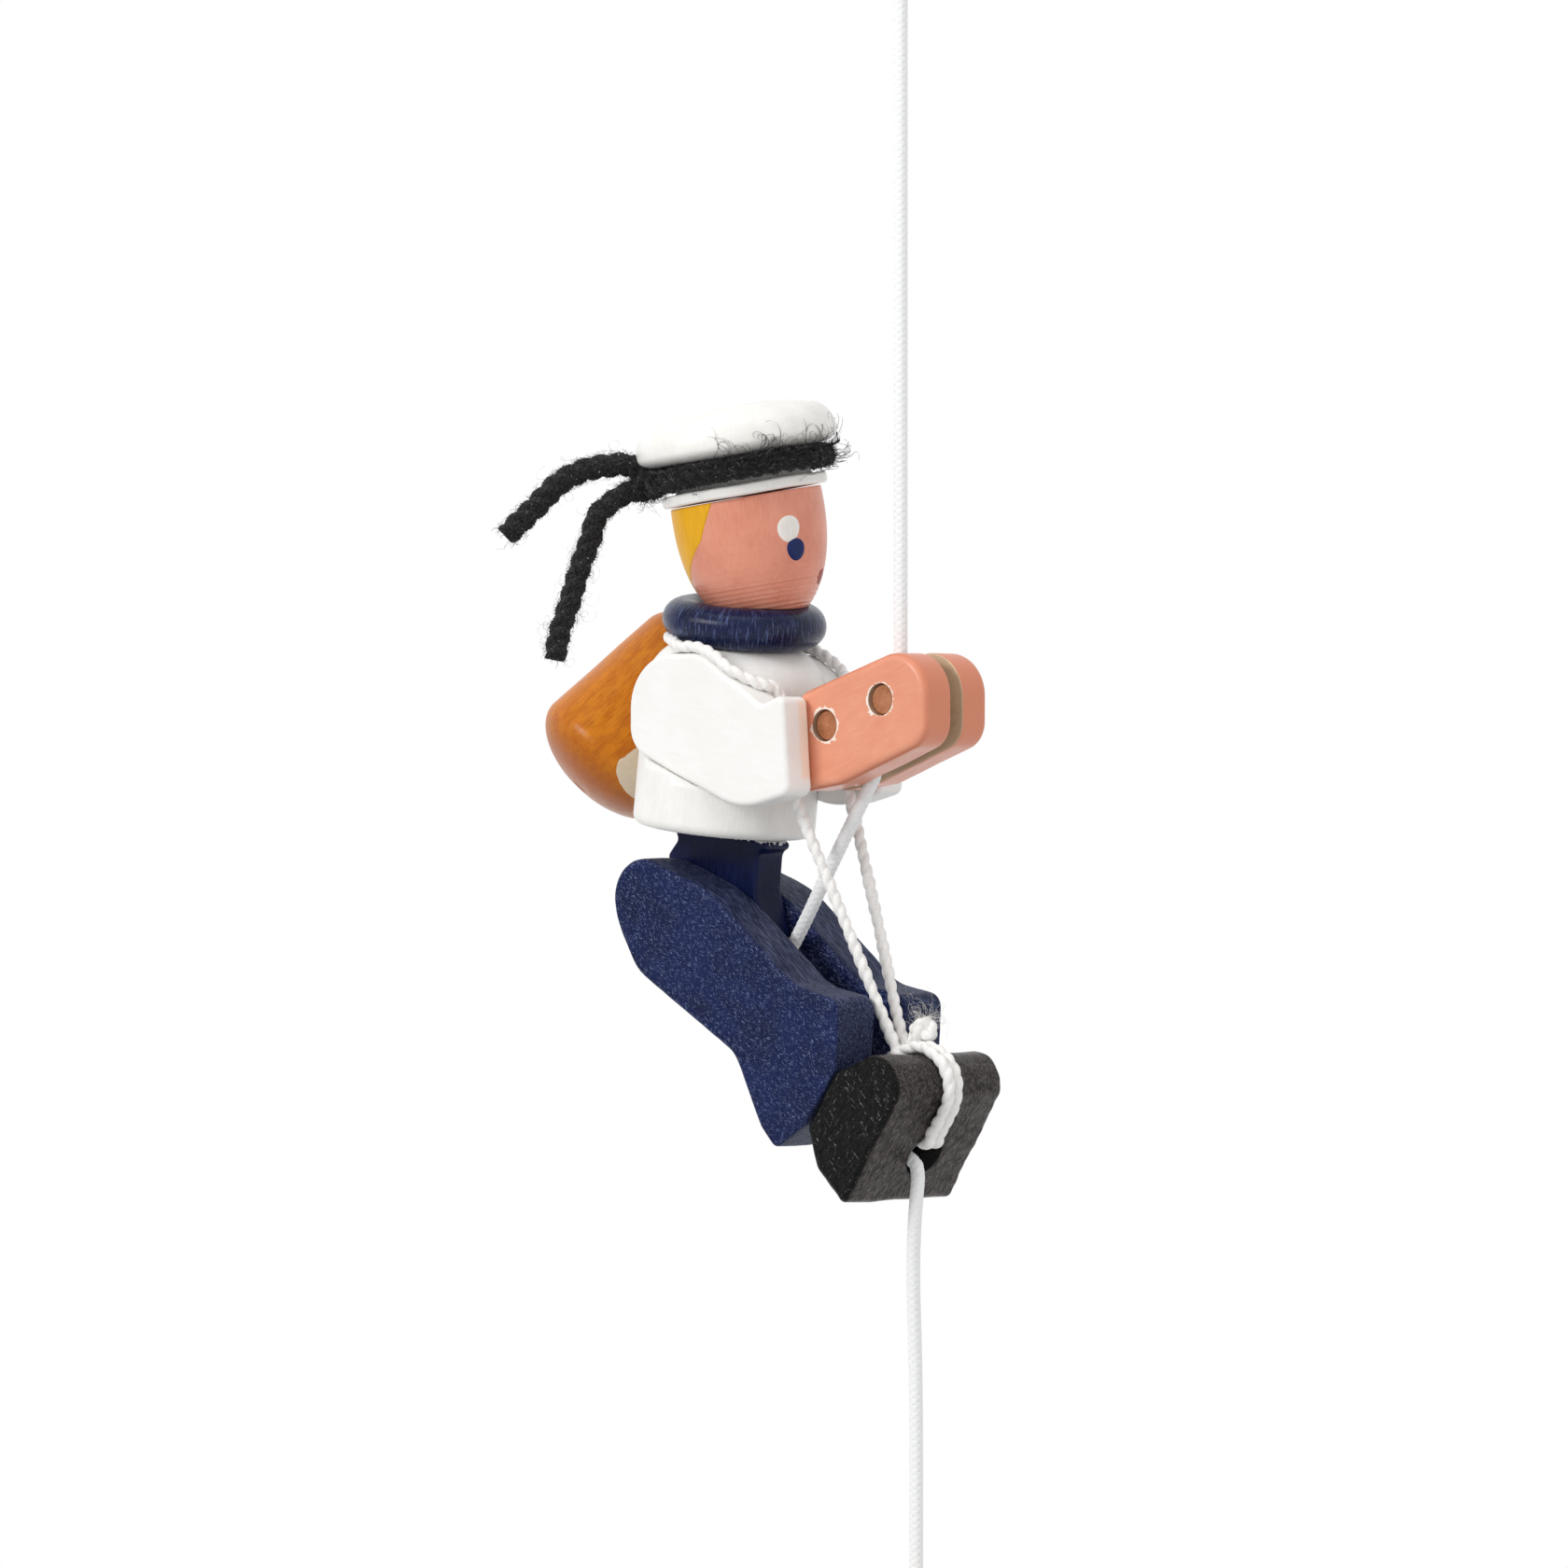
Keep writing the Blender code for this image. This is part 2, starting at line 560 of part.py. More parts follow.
carried(string("yarn_band", band_points, YARN_RADIUS, BLACK_WOOL, resolution=1), figure_pivot)
print("yarn_band least gap mm",
      round(least_gap(band_points, YARN_RADIUS, POINTS_PER_TURN // 2) / MM, 2))
for name, stops in YARN_TAILS.items():
    roots = [tuple(knot_place @ (Vector(root) * MM)) for root in YARN_TAIL_ROOTS[name]]
    route = np.concatenate([roots, np.array(stops) * MM])
    tail = string(name, smooth_route(route, YARN_RADIUS * 2), YARN_RADIUS, BLACK_WOOL)
    carried(tail, figure_pivot)


def under_torso(x):
    """Place on the hip block's top, below the torso's underside."""
    return torso_foot[1] - SEAT_GAP / torso_axis[1] - (x - torso_foot[0]) * math.tan(TORSO_LEAN)


# Hip block, glued under the torso, with a tenon up into it
tenon = []
for across, up in ((-1, 0), (-1, 1), (1, 1), (1, 0)):
    corner = torso_foot + torso_along * across * TENON_HALF_WIDTH
    corner += torso_axis * (TENON_HEIGHT if up else -SEAT_GAP)
    tenon.append(corner)
hip_back = HIP_PIN[0] - 12.9 * MM
hip_front = HIP_PIN[0] + 8.7 * MM
hip_corners = [(hip_back, under_torso(hip_back), 0.0)]
hip_corners += [(*corner, 0.0) for corner in tenon]
hip_corners += [(hip_front, under_torso(hip_front), 0.0)]
hip_corners += around(HIP_PIN, [
    (4.7, 9.6, 1.5),
    (4.1, 3.5, 4.0),
    (6.5, -4.0, 2.5),
    (0.0, -7.8, 5.0),
    (-8.0, -5.5, 5.0),
    (-13.6, 2.0, 5.0),
    (-14.0, 9.0, 1.0),
    (-12.0, 11.3, 0.8),
])
hip_half = HIP_BLOCK_THICKNESS / 2
hip_block = board("hip_block", rounded_outline(hip_corners), -hip_half, hip_half, HIP_EDGE, NAVY_PAINT)
carried(hip_block, figure_pivot)
mortise_corners = [torso_foot + torso_along * across * TENON_HALF_WIDTH + torso_axis * up
                   for across, up in ((-1, -MM), (-1, TENON_HEIGHT), (1, TENON_HEIGHT), (1, -MM))]
mortise = board("mortise", grown(mortise_corners, SEAT_GAP), -hip_half - SEAT_GAP,
                hip_half + SEAT_GAP, 0.0, None)
cut(torso, mortise)

# Legs on the hip pin, with the pin that the cord goes round
leg_corners = around(HIP_PIN, [
    (-19.7, 12.1, 6.0),
    (3.0, 3.65, 25.0),
    (20.3, -10.2, 8.0),
    (29.2, -12.0, 1.5),
    (28.6, -22.4, 0.0),
    (22.6, -31.0, 0.0),
    (16.4, -34.8, 1.0),
    (13.5, -31.6, 3.0),
    (8.0, -20.6, 6.0),
    (-12.2, -8.7, 8.0),
    (-16.3, -1.2, 14.0),
])
hem_top = Vector(leg_corners[4][:2])
hem_low = Vector(leg_corners[5][:2])
leg_outline = rounded_outline(leg_corners)
hip_hole = cross_pin("hip_hole", HIP_PIN, hip_half * 2, HIP_PIN_RADIUS + PIN_PLAY, None)
cut(hip_block, hip_hole)
leg_hip_hole = cross_pin("leg_hip_hole", HIP_PIN, 2 * LEG_OUTER, HIP_PIN_RADIUS + PIN_FIT, None)
leg_cord_hole = cross_pin("leg_cord_hole", CORD_PIN, 2 * LEG_OUTER, CORD_PIN_RADIUS + PIN_FIT, None)
for side, label in SIDES:
    low, high = sorted((side * LEG_INNER, side * LEG_OUTER))
    leg = board("leg_" + label, leg_outline, low, high, LEG_EDGE, NAVY_PAINT)
    cut(leg, leg_hip_hole)
    cut(leg, leg_cord_hole)
    carried(leg, legs_pivot)
pin_half = LEG_OUTER - PIN_INSET
carried(cross_pin("hip_pin", HIP_PIN, pin_half, HIP_PIN_RADIUS, BARE_WOOD), legs_pivot)
carried(cross_pin("cord_pin", CORD_PIN, pin_half, CORD_PIN_RADIUS, BARE_WOOD), legs_pivot)

# Foot block across both hems, with a hole for the cord between the legs
hem_along = (hem_low - hem_top).normalized()
hem_out = Vector((-hem_along[1], hem_along[0]))
foot_top = hem_top + hem_out * SEAT_GAP
foot_low = hem_low + hem_out * SEAT_GAP
toe_corner, sole_top, sole_low, heel = around(HIP_PIN, [
    (40.4, -18.6, 4.6),
    (41.3, -26.0, 2.0),
    (30.2, -43.2, 1.2),
    (24.8, -37.3, 2.0),
])
foot_outline = rounded_outline([(*foot_top, 0.0), toe_corner, sole_top, sole_low, heel,
                                (*foot_low, 0.0)])
foot = board("foot_block", foot_outline, -LEG_OUTER, LEG_OUTER, FOOT_EDGE, BLACK_PAINT)
carried(foot, legs_pivot)
sole_along = (Vector(sole_low[:2]) - Vector(sole_top[:2])).normalized()
hole_way = Vector((-sole_along[1], sole_along[0]))
hole_up = -sole_along


def in_hole(depth, up, across=0.0):
    """A place in the foot's hole, at a depth from the sole and above its middle."""
    place = SOLE_EXIT - hole_way * depth + hole_up * up
    return (place[0], across, place[1])


foot_hole = rod("foot_hole", in_hole(HOLE_REACH, 0.0, HOLE_ACROSS),
                in_hole(-HOLE_REACH, 0.0, HOLE_ACROSS), FOOT_HOLE_RADIUS, None)
cut(foot, foot_hole)

# Kit bag, turned, with a worn flat and a peg into the torso
bag_way = Vector(BAG_AXIS).normalized()
bag_place = Matrix.Translation(BAG_END) @ bag_way.to_track_quat("Z", "Y").to_matrix().to_4x4()
bag_profile = arc(0.0, BAG_LENGTH - BAG_DOME, BAG_TOP_RADIUS, 90, 0, 6, rise=BAG_DOME)
bag_profile += arc(0.0, BAG_DOME, BAG_RADIUS, 0, -90, 6, rise=BAG_DOME)
bag_profile[0] = (0.0, BAG_LENGTH)
bag_profile[-1] = (0.0, 0.0)
bag = carried(turned("bag", bag_profile, bag_place, AMBER_VARNISH), figure_pivot)
flat_way = Vector(BAG_FLAT_WAY)
flat_way = (flat_way - bag_way * flat_way.dot(bag_way)).normalized()
flat_radius = BAG_RADIUS - (BAG_RADIUS - BAG_TOP_RADIUS) * BAG_FLAT_AT / BAG_LENGTH
flat_middle = Vector(BAG_END) + bag_way * BAG_FLAT_AT + flat_way * (flat_radius - BAG_FLAT_DEPTH)
bag_flat = rod("bag_flat", flat_middle, flat_middle + flat_way * BAG_RADIUS, BAG_RADIUS, None)
cut(bag, bag_flat)
torso_seat = turned("torso_seat", [(0.0, 2 * TORSO_ABOVE), (TORSO_RADIUS + SEAT_GAP, 2 * TORSO_ABOVE),
                                   (TORSO_RADIUS + SEAT_GAP, -2 * TORSO_BELOW),
                                   (0.0, -2 * TORSO_BELOW)], torso_place, None, steps=40)
cut(bag, torso_seat)
peg_way = Vector(BAG_PEG_WAY).normalized()
peg_root = Vector(BAG_END) + bag_way * BAG_PEG_AT
centre_line = Vector((TORSO_CENTRE[0], 0.0, TORSO_CENTRE[1]))
centre_line += (peg_root[2] - TORSO_CENTRE[1]) / torso_axis[1] * Vector((torso_axis[0], 0.0, torso_axis[1]))
off_line = Vector((peg_root[0] - centre_line[0], peg_root[1] - centre_line[1]))
peg_flat = Vector((peg_way[0], peg_way[1]))
reach = -off_line.dot(peg_flat)
reach -= math.sqrt(max(0.0, TORSO_RADIUS ** 2 - (off_line + peg_flat * reach).length_squared))
peg_start = peg_root + peg_way * BAG_TOP_RADIUS / 2
peg_end = peg_root + peg_way * (reach + BAG_PEG_DEPTH)
carried(rod("bag_peg", peg_start, peg_end, BAG_PEG_RADIUS, BARE_WOOD, sides=16), figure_pivot)
peg_hole = rod("bag_peg_hole", peg_start - peg_way * SEAT_GAP, peg_end + peg_way * SEAT_GAP,
               BAG_PEG_RADIUS + PIN_FIT, None, sides=16)
cut(bag, peg_hole)
cut(torso, peg_hole)

# Climbing cord: its loop and knot, then its stretches down to the pull bead
loop_turns = np.linspace(0.0, 1.0, POINTS_PER_TURN + 1)
loop_rise = (1 - np.cos(2 * math.pi * loop_turns)) / 2
loop_foot = (CORD_RADIUS + SEAT_GAP) * np.cos(math.pi * loop_turns)
loop_x = -loop_foot - LOOP_HALF_WIDTH * np.sin(2 * math.pi * loop_turns) * loop_rise ** 0.5
loop_z = -LOOP_LENGTH + (LOOP_LENGTH + CORD_RADIUS) * loop_rise
loop_points = np.stack([loop_x, 0 * loop_x, loop_z], axis=1)
string("hang_loop", loop_points, CORD_RADIUS, WHITE_CORD, resolution=1)
print("hang_loop least gap mm",
      round(least_gap(loop_points, CORD_RADIUS, POINTS_PER_TURN // 2) / MM, 2))
knot_top = -LOOP_LENGTH - SEAT_GAP
knot_low = knot_top - LOOP_KNOT_LENGTH
ball("loop_knot", (LOOP_KNOT_RADIUS, LOOP_KNOT_RADIUS, LOOP_KNOT_LENGTH / 2),
     Matrix.Translation((0.0, 0.0, (knot_top + knot_low) / 2)), WHITE_CORD)

slot_top = FRONT_PIN[1] + 6.9 * MM
slot_foot = FRONT_PIN[1] - 11.9 * MM
slot_exit = FRONT_PIN[0] - 7.7 * MM
cord_at_pin = FRONT_PIN[0] - HAND_PIN_RADIUS - PIN_PLAY - CORD_RADIUS
string("cord_upper", smooth_route([(0, 0, knot_low - SEAT_GAP), (0, 0, slot_top)], 20 * MM),
       CORD_RADIUS, WHITE_CORD)
grip_stops = [(0, 0, slot_top - SEAT_GAP), (cord_at_pin - 0.1 * MM, 0, FRONT_PIN[1]),
              (-2.9 * MM, 0, FRONT_PIN[1] - 5.6 * MM), (slot_exit, 0, slot_foot)]
carried(string("cord_in_hands", smooth_route(grip_stops, 2.4 * MM), CORD_RADIUS, WHITE_CORD),
        figure_pivot)

pin_bend = CORD_PIN_RADIUS + CORD_RADIUS + SEAT_GAP


def round_pin(degrees):
    """A place on the cord's bend behind the cord pin, with 0 at +X and 90 at +Z."""
    angle = math.radians(degrees)
    return (CORD_PIN[0] + pin_bend * math.cos(angle), 0.0, CORD_PIN[1] + pin_bend * math.sin(angle))


hands_stops = [(slot_exit - 0.2 * MM, 0, slot_foot - SEAT_GAP), (-13.8 * MM, 0, -151.7 * MM),
               (-20.9 * MM, 0, -162.9 * MM), round_pin(BEND_START)]
carried(string("cord_hands_to_knee", smooth_route(hands_stops, 4.5 * MM), CORD_RADIUS, WHITE_CORD),
        figure_pivot)
cord_off = FOOT_HOLE_RADIUS - CORD_RADIUS - SEAT_GAP
cord_up = cord_off * math.sin(math.radians(HOLE_CORD_ANGLE))
cord_across = HOLE_ACROSS + cord_off * math.cos(math.radians(HOLE_CORD_ANGLE))
knee_stops = [round_pin(degrees) for degrees in (BEND_START + BEND_STEP, 178, 200, 220, 239)]
knee_stops += [in_hole(depth * MM, cord_up, cord_across) for depth in (13.0, 6.0, -0.3)]
carried(string("cord_knee_to_foot", smooth_route(knee_stops, 2.3 * MM), CORD_RADIUS, WHITE_CORD),
        legs_pivot)

bead_middle = (3.1 * MM, 0.0, -PULL_BEAD_DROP)
end_top = bead_middle[2] - PULL_BEAD_RADIUS - SEAT_GAP
exit_x, exit_y, exit_z = in_hole(-0.3 * MM - 1.5 * SEAT_GAP, cord_up, cord_across)
lower_stops = [(exit_x, exit_y, exit_z), (exit_x + 0.6 * MM, exit_y - 0.1 * MM, exit_z - 0.7 * MM),
               (exit_x + 1.0 * MM, exit_y - 0.3 * MM, exit_z - 2.4 * MM),
               (exit_x + 0.8 * MM, exit_y - 0.4 * MM, exit_z - 5.2 * MM),
               (exit_x + 0.2 * MM, exit_y - 0.2 * MM, exit_z - 10.0 * MM),
               (bead_middle[0], 0.6 * exit_y, exit_z - 18.0 * MM),
               (bead_middle[0], 0, exit_z - 38.0 * MM), (bead_middle[0], 0, end_top)]
string("cord_lower", smooth_route(lower_stops, 2.6 * MM), CORD_RADIUS, WHITE_CORD)
bore = CORD_RADIUS + SEAT_GAP
bead_edge = math.degrees(math.asin(math.sqrt(1 - (bore / PULL_BEAD_RADIUS) ** 2)))
bead_side = arc(0.0, 0.0, PULL_BEAD_RADIUS, bead_edge, -bead_edge, 10)
turned("pull_bead", bead_side, Matrix.Translation(bead_middle), BARE_WOOD, steps=28, closed=True)
ball("end_knot", (END_KNOT_RADIUS, END_KNOT_RADIUS, END_KNOT_RADIUS),
     Matrix.Translation((bead_middle[0], 0.0, end_top - SEAT_GAP - END_KNOT_RADIUS)), WHITE_CORD)

# Elastic string: behind the neck, along each arm's top edge and over the inner elbow
arm_points = np.array([tuple(point) for point in arm_outline])


def over_arm(x, y):
    """A place for the elastic where it lies on the arm's top edge."""
    ends = zip(arm_points, np.roll(arm_points, -1, axis=0))
    tops = [a[1] + (x - a[0]) * (b[1] - a[1]) / (b[0] - a[0])
            for a, b in ends if min(a[0], b[0]) <= x < max(a[0], b[0])]
    return (x, y, max(tops) + ELASTIC_RADIUS + 1.3 * SEAT_GAP)


strap_across = ARM_OUTER - ELASTIC_RADIUS
strand_across = ARM_INNER - ELASTIC_RADIUS - 1.4 * SEAT_GAP
strand_top = -146.0 * MM
strand_start = -14.0 * MM
neck_half = [(-41.5 * MM, 8.2 * MM, -117.2 * MM), (-37.5 * MM, 11.0 * MM, -117.8 * MM)]
neck_half += [over_arm(x * MM, strap_across) for x in (-33.5, -30.0, -26.5, -23.3)]
neck_half += [over_arm(-20.9 * MM, strap_across - 1.8 * MM), over_arm(-19.6 * MM, ARM_INNER + 1.5 * MM),
              over_arm(-19.0 * MM, ARM_INNER - 0.2 * MM)]
neck_half += [(-18.5 * MM, strand_across, -127.0 * MM), (-18.1 * MM, strand_across, -130.0 * MM),
              (-16.9 * MM, strand_across - 0.2 * MM, -136.0 * MM),
              (-15.6 * MM, strand_across - 0.3 * MM, -142.0 * MM),
              (strand_start, strand_across - 0.6 * MM, strand_top)]
neck_half = np.array(neck_half)
mirror = np.array([1.0, -1.0, 1.0])
neck_stops = np.concatenate([neck_half[::-1], [(-44.8 * MM, 0.0, -116.9 * MM)], neck_half * mirror])
carried(string("elastic_neck_loop", smooth_route(neck_stops, 2.6 * MM), ELASTIC_RADIUS, WHITE_CORD),
        figure_pivot)

# Elastic winding round the toe: a steady helix that follows the toe and the hole
wrap_off = ELASTIC_RADIUS + 1.3 * SEAT_GAP
toe_way = (Vector(toe_corner[:2]) - foot_top).normalized()
toe_up = Vector((-toe_way[1], toe_way[0]))
front_way = (Vector(sole_top[:2]) - Vector(toe_corner[:2])).normalized()
front_out = Vector((-front_way[1], front_way[0]))
toe_round = toe_corner[2]
toe_centre = Vector(toe_corner[:2]) - (toe_up + front_out) * toe_round / (1 + toe_up.dot(front_out))
toe_out = (toe_up + front_out).normalized()
hole_top = FOOT_HOLE_RADIUS - ELASTIC_RADIUS - 3 * SEAT_GAP
sole_edge = SOLE_EXIT + hole_up * FOOT_HOLE_RADIUS
depth_at_hem = (SOLE_EXIT - foot_top).dot(hem_out) / hole_way.dot(hem_out)
hem_edge = SOLE_EXIT - hole_way * depth_at_hem + hole_up * FOOT_HOLE_RADIUS
wrap_stops = [
    foot_top + toe_way * 3.0 * MM + toe_up * wrap_off,
    toe_centre + toe_up * (toe_round + wrap_off),
    toe_centre + (toe_up + toe_out).normalized() * (toe_round + wrap_off),
    toe_centre + (front_out + toe_out).normalized() * (toe_round + wrap_off),
    Vector(sole_top[:2]) + front_out * 0.9 * wrap_off,
    Vector(sole_top[:2]) + sole_along * 3.0 * MM + hole_way * wrap_off,
    sole_edge - sole_along * 1.0 * MM + hole_way * wrap_off,
    sole_edge + sole_along * 1.4 * MM + hole_way * 0.9 * wrap_off,
    SOLE_EXIT - hole_way * 3.0 * MM + hole_up * hole_top,
    SOLE_EXIT - hole_way * (depth_at_hem - 2.5 * MM) + hole_up * hole_top,
    hem_edge - hem_out * 1.2 * wrap_off + hem_along * 1.2 * MM,
    hem_edge - hem_out * 1.2 * wrap_off - hem_along * 1.5 * MM,
    foot_top - hem_out * wrap_off + toe_up * 0.4 * wrap_off,
]
wrap_fine, wrap_run = smooth_curve([tuple(stop) for stop in wrap_stops], closed=True)
wrap_turns = np.linspace(0.0, WRAP_TURNS, WRAP_TURNS * POINTS_PER_TURN + 1)
wrap_flat = along_curve(wrap_fine, wrap_run, (wrap_turns % 1.0) * wrap_run[-1])
wrap_toe = 0.25
wrap_y = (WRAP_STEP * (wrap_turns - WRAP_TURNS / 2) + WRAP_SHIFT
          + WRAP_SKEW * np.cos(2 * math.pi * (wrap_turns - wrap_toe)))
wrap_points = np.stack([wrap_flat[:, 0], wrap_y, wrap_flat[:, 1]], axis=1)
carried(string("elastic_wrap", wrap_points, ELASTIC_RADIUS, WHITE_CORD, resolution=1), legs_pivot)
print("elastic_wrap least gap mm",
      round(least_gap(wrap_points, ELASTIC_RADIUS, POINTS_PER_TURN // 2) / MM, 2))
knot_seat = foot_top + toe_way * 6.5 * MM + toe_up * (wrap_off + ELASTIC_RADIUS + SEAT_GAP)
knot_middle = knot_seat + toe_up * 0.7 * ELASTIC_KNOT_RADIUS
carried(ball("elastic_knot", (ELASTIC_KNOT_RADIUS, 0.8 * ELASTIC_KNOT_RADIUS, 0.7 * ELASTIC_KNOT_RADIUS),
             Matrix.Translation((knot_middle[0], 1.3 * MM, knot_middle[1])), WHITE_CORD), legs_pivot)

# The two strands between the neck loop and the winding
strand_end = wrap_points[0] + (-0.5 * MM, 0.0, 2.2 * ELASTIC_RADIUS + SEAT_GAP)
for side, label in SIDES:
    end = strand_end * (1.0, -side, 1.0)
    start = neck_half[-1] * (1.0, side, 1.0)
    way = (end - start) / np.linalg.norm(end - start)
    strand = [start + way * SEAT_GAP, (start + end) / 2, end]
    carried(string("elastic_" + label, smooth_route(strand, 6 * MM), ELASTIC_RADIUS, WHITE_CORD),
            figure_pivot)
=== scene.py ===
import math
from functools import partial

import bmesh
import bpy
import numpy as np
from mathutils import Matrix


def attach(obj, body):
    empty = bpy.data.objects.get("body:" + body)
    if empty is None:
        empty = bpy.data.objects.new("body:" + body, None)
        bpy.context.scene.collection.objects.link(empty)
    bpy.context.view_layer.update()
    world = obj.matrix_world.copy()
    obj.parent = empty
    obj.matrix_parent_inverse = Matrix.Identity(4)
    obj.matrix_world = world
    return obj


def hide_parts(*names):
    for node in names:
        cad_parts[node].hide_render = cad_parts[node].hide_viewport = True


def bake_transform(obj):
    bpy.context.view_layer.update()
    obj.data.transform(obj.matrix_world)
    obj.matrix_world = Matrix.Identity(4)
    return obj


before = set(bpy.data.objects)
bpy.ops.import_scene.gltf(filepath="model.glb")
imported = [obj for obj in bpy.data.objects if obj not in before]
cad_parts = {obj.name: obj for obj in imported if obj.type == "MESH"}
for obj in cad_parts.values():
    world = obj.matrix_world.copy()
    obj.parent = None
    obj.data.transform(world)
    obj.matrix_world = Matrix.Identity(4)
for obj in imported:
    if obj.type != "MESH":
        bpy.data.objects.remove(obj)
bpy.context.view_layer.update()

mm = 0.001
dice = np.random.default_rng(11)
wayUp = np.array([0.0, 0.0, 1.0])
wayAcross = (0.0, 1.0, 0.0)
cutReach, cutEdge = 20, 0.02
print("stage: frame loaded,", len(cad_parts), "CAD nodes")


# Shapes: every helper works in millimetres and gives a grid of points (rows, columns, 3)

# Parts stretched to one shape and stacked along a last axis
def joined(*parts):
    return np.stack(np.broadcast_arrays(*parts), axis=-1)


# Ways at length 1
def unit(ways):
    ways = np.asarray(ways, float)
    return ways / np.linalg.norm(ways, axis=-1, keepdims=True)


# Angles evenly round a full turn
def allRound(count):
    return np.linspace(0, 2 * np.pi, count, endpoint=False)


# A turn by degrees about one of the axes, as a 3 by 3 matrix
def turnAbout(axis, degrees):
    c, s = math.cos(math.radians(degrees)), math.sin(math.radians(degrees))
    first, second = {"X": (1, 2), "Y": (2, 0), "Z": (0, 1)}[axis]
    turn = np.eye(3)
    turn[first, first] = turn[second, second] = c
    turn[first, second], turn[second, first] = -s, s
    return turn


# A lean forwards about Y after a lean sideways about X
def leaning(forwards, sideways):
    return turnAbout("Y", forwards) @ turnAbout("X", sideways)


# A turn whose third axis points along the given way
def turnTo(way):
    way = unit(way)
    side = unit(np.cross(wayUp if abs(way[2]) < 0.95 else [1.0, 0.0, 0.0], way))
    return joined(side, np.cross(way, side), way)


# Arc: (centre + size * cosine, centre + rise * sine) from the first angle to the last
def arc(radius, height, size, first, last, steps, rise=None):
    angle = np.radians(np.linspace(first, last, steps))
    return joined(radius + size * np.cos(angle), height + (rise or size) * np.sin(angle))


# Turned piece: each profile point (radius, height) goes once round the axis
def turnedGrid(profile, turn, origin, around):
    angle = allRound(around)
    radius, height = profile[:, :1], profile[:, 1:]
    return joined(radius * np.cos(angle), radius * np.sin(angle), height) @ turn.T + origin


# Length run along a line of points
def runAlong(route):
    return np.concatenate([[0], np.cumsum(np.linalg.norm(np.diff(route, axis=0), axis=1))])


# Evenly spaced points on a line of points, closed into a loop or open
def evenly(points, spacing, closed=False):
    line = np.concatenate([points, points[:1]]) if closed else points
    run = runAlong(line)
    count = max(3, int(math.ceil(run[-1] / spacing)) + 1)
    at = np.linspace(0, run[-1], count)[:count - 1 if closed else count]
    return joined(*(np.interp(at, run, column) for column in line.T))


# Rounded outline: each corner (x, z, radius) gives way to an arc that touches both of its sides
def roundedOutline(corners, spacing=0.3):
    spots = np.array(corners)[:, :2]
    pieces = []
    for index, (*here, radius) in enumerate(corners):
        back = unit(spots[index - 1] - here)
        ahead = unit(spots[(index + 1) % len(spots)] - here)
        half = math.acos(np.clip(back @ ahead, -1, 1)) / 2
        centre = here + unit(back + ahead) * radius / math.sin(half)
        first = here + back * radius / math.tan(half) - centre
        last = here + ahead * radius / math.tan(half) - centre
        start, end = (math.degrees(math.atan2(way[1], way[0])) for way in (first, last))
        pieces.append(arc(*centre, radius, start, start + (end - start + 180) % 360 - 180, 24))
    return evenly(np.concatenate(pieces), spacing, closed=True)


# Slow unevenness of handwork: the mean of three sine waves through space, times the amount
def uneven(points, size, amount):
    waves = np.array([[0.8, 0.5, 0.33], [-0.4, 0.9, 0.6], [0.5, -0.3, 0.9]]) * 2 * np.pi / size
    return amount * np.sin(points @ waves.T + [0.3, 1.7, 4.1]).mean(axis=-1)


# Outward ways of a closed outline, square to the line through each point's neighbours
def outwards(outline):
    before, after = np.roll(outline, 1, axis=0), np.roll(outline, -1, axis=0)
    ahead = unit(after - before)
    area = np.sum(outline[:, 0] * after[:, 1] - after[:, 0] * outline[:, 1])
    return np.sign(area) * joined(ahead[:, 1], -ahead[:, 0])


# Board: the outline at each depth y, moved inwards by a quarter circle at either face
def boardGrid(outline, low, high, edgeLow, edgeHigh, rough=0.05, fine=0.0):
    quarter = np.linspace(0, np.pi / 2, 8)
    lip = 0.1
    wall = np.linspace(low + edgeLow, high - edgeHigh, 9)[1:-1]
    depth = np.concatenate([[low], low + edgeLow * (1 - np.cos(quarter)), wall,
                            high - edgeHigh * (1 - np.cos(quarter[::-1])), [high]])
    inset = np.concatenate([[edgeLow + lip], edgeLow * (1 - np.sin(quarter)), 0 * wall,
                            edgeHigh * (1 - np.sin(quarter[::-1])), [edgeHigh + lip]])
    out = outwards(outline)
    flat = outline[None] - out[None] * inset[:, None, None]
    grid = joined(flat[..., 0], depth[:, None], flat[..., 1])
    push = (uneven(grid, 9.0, rough) + uneven(grid, 2.3, fine)) * (inset < edgeLow)[:, None]
    grid[..., [0, 2]] += push[..., None] * out
    return grid


# Smooth route: a Catmull-Rom curve through the stops, cut into even steps
def smoothRoute(stops, spacing):
    stops = np.asarray(stops, float)
    chain = np.concatenate([[2 * stops[0] - stops[1]], stops, [2 * stops[-1] - stops[-2]]])
    a, b, c, d = (chain[i:len(chain) - 3 + i][:, None] for i in range(4))
    t = np.linspace(0, 1, 40, endpoint=False)[None, :, None]
    fine = 0.5 * (2 * b + (c - a) * t + (2 * a - 5 * b + 4 * c - d) * t ** 2 + (3 * b - a - 3 * c + d) * t ** 3)
    return evenly(np.concatenate([fine.reshape(-1, 3), stops[-1:]]), spacing)


# Axes square to a route: the first side way is carried from point to point without twist
def routeFrame(route):
    ahead = unit(np.gradient(route, axis=0))
    side = np.cross(ahead[0], [0.31, 0.95, 0.11])
    sides = []
    for way in ahead:
        side = unit(side - way * (side @ way))
        sides.append(side)
    return ahead, np.array(sides), np.cross(ahead, sides)


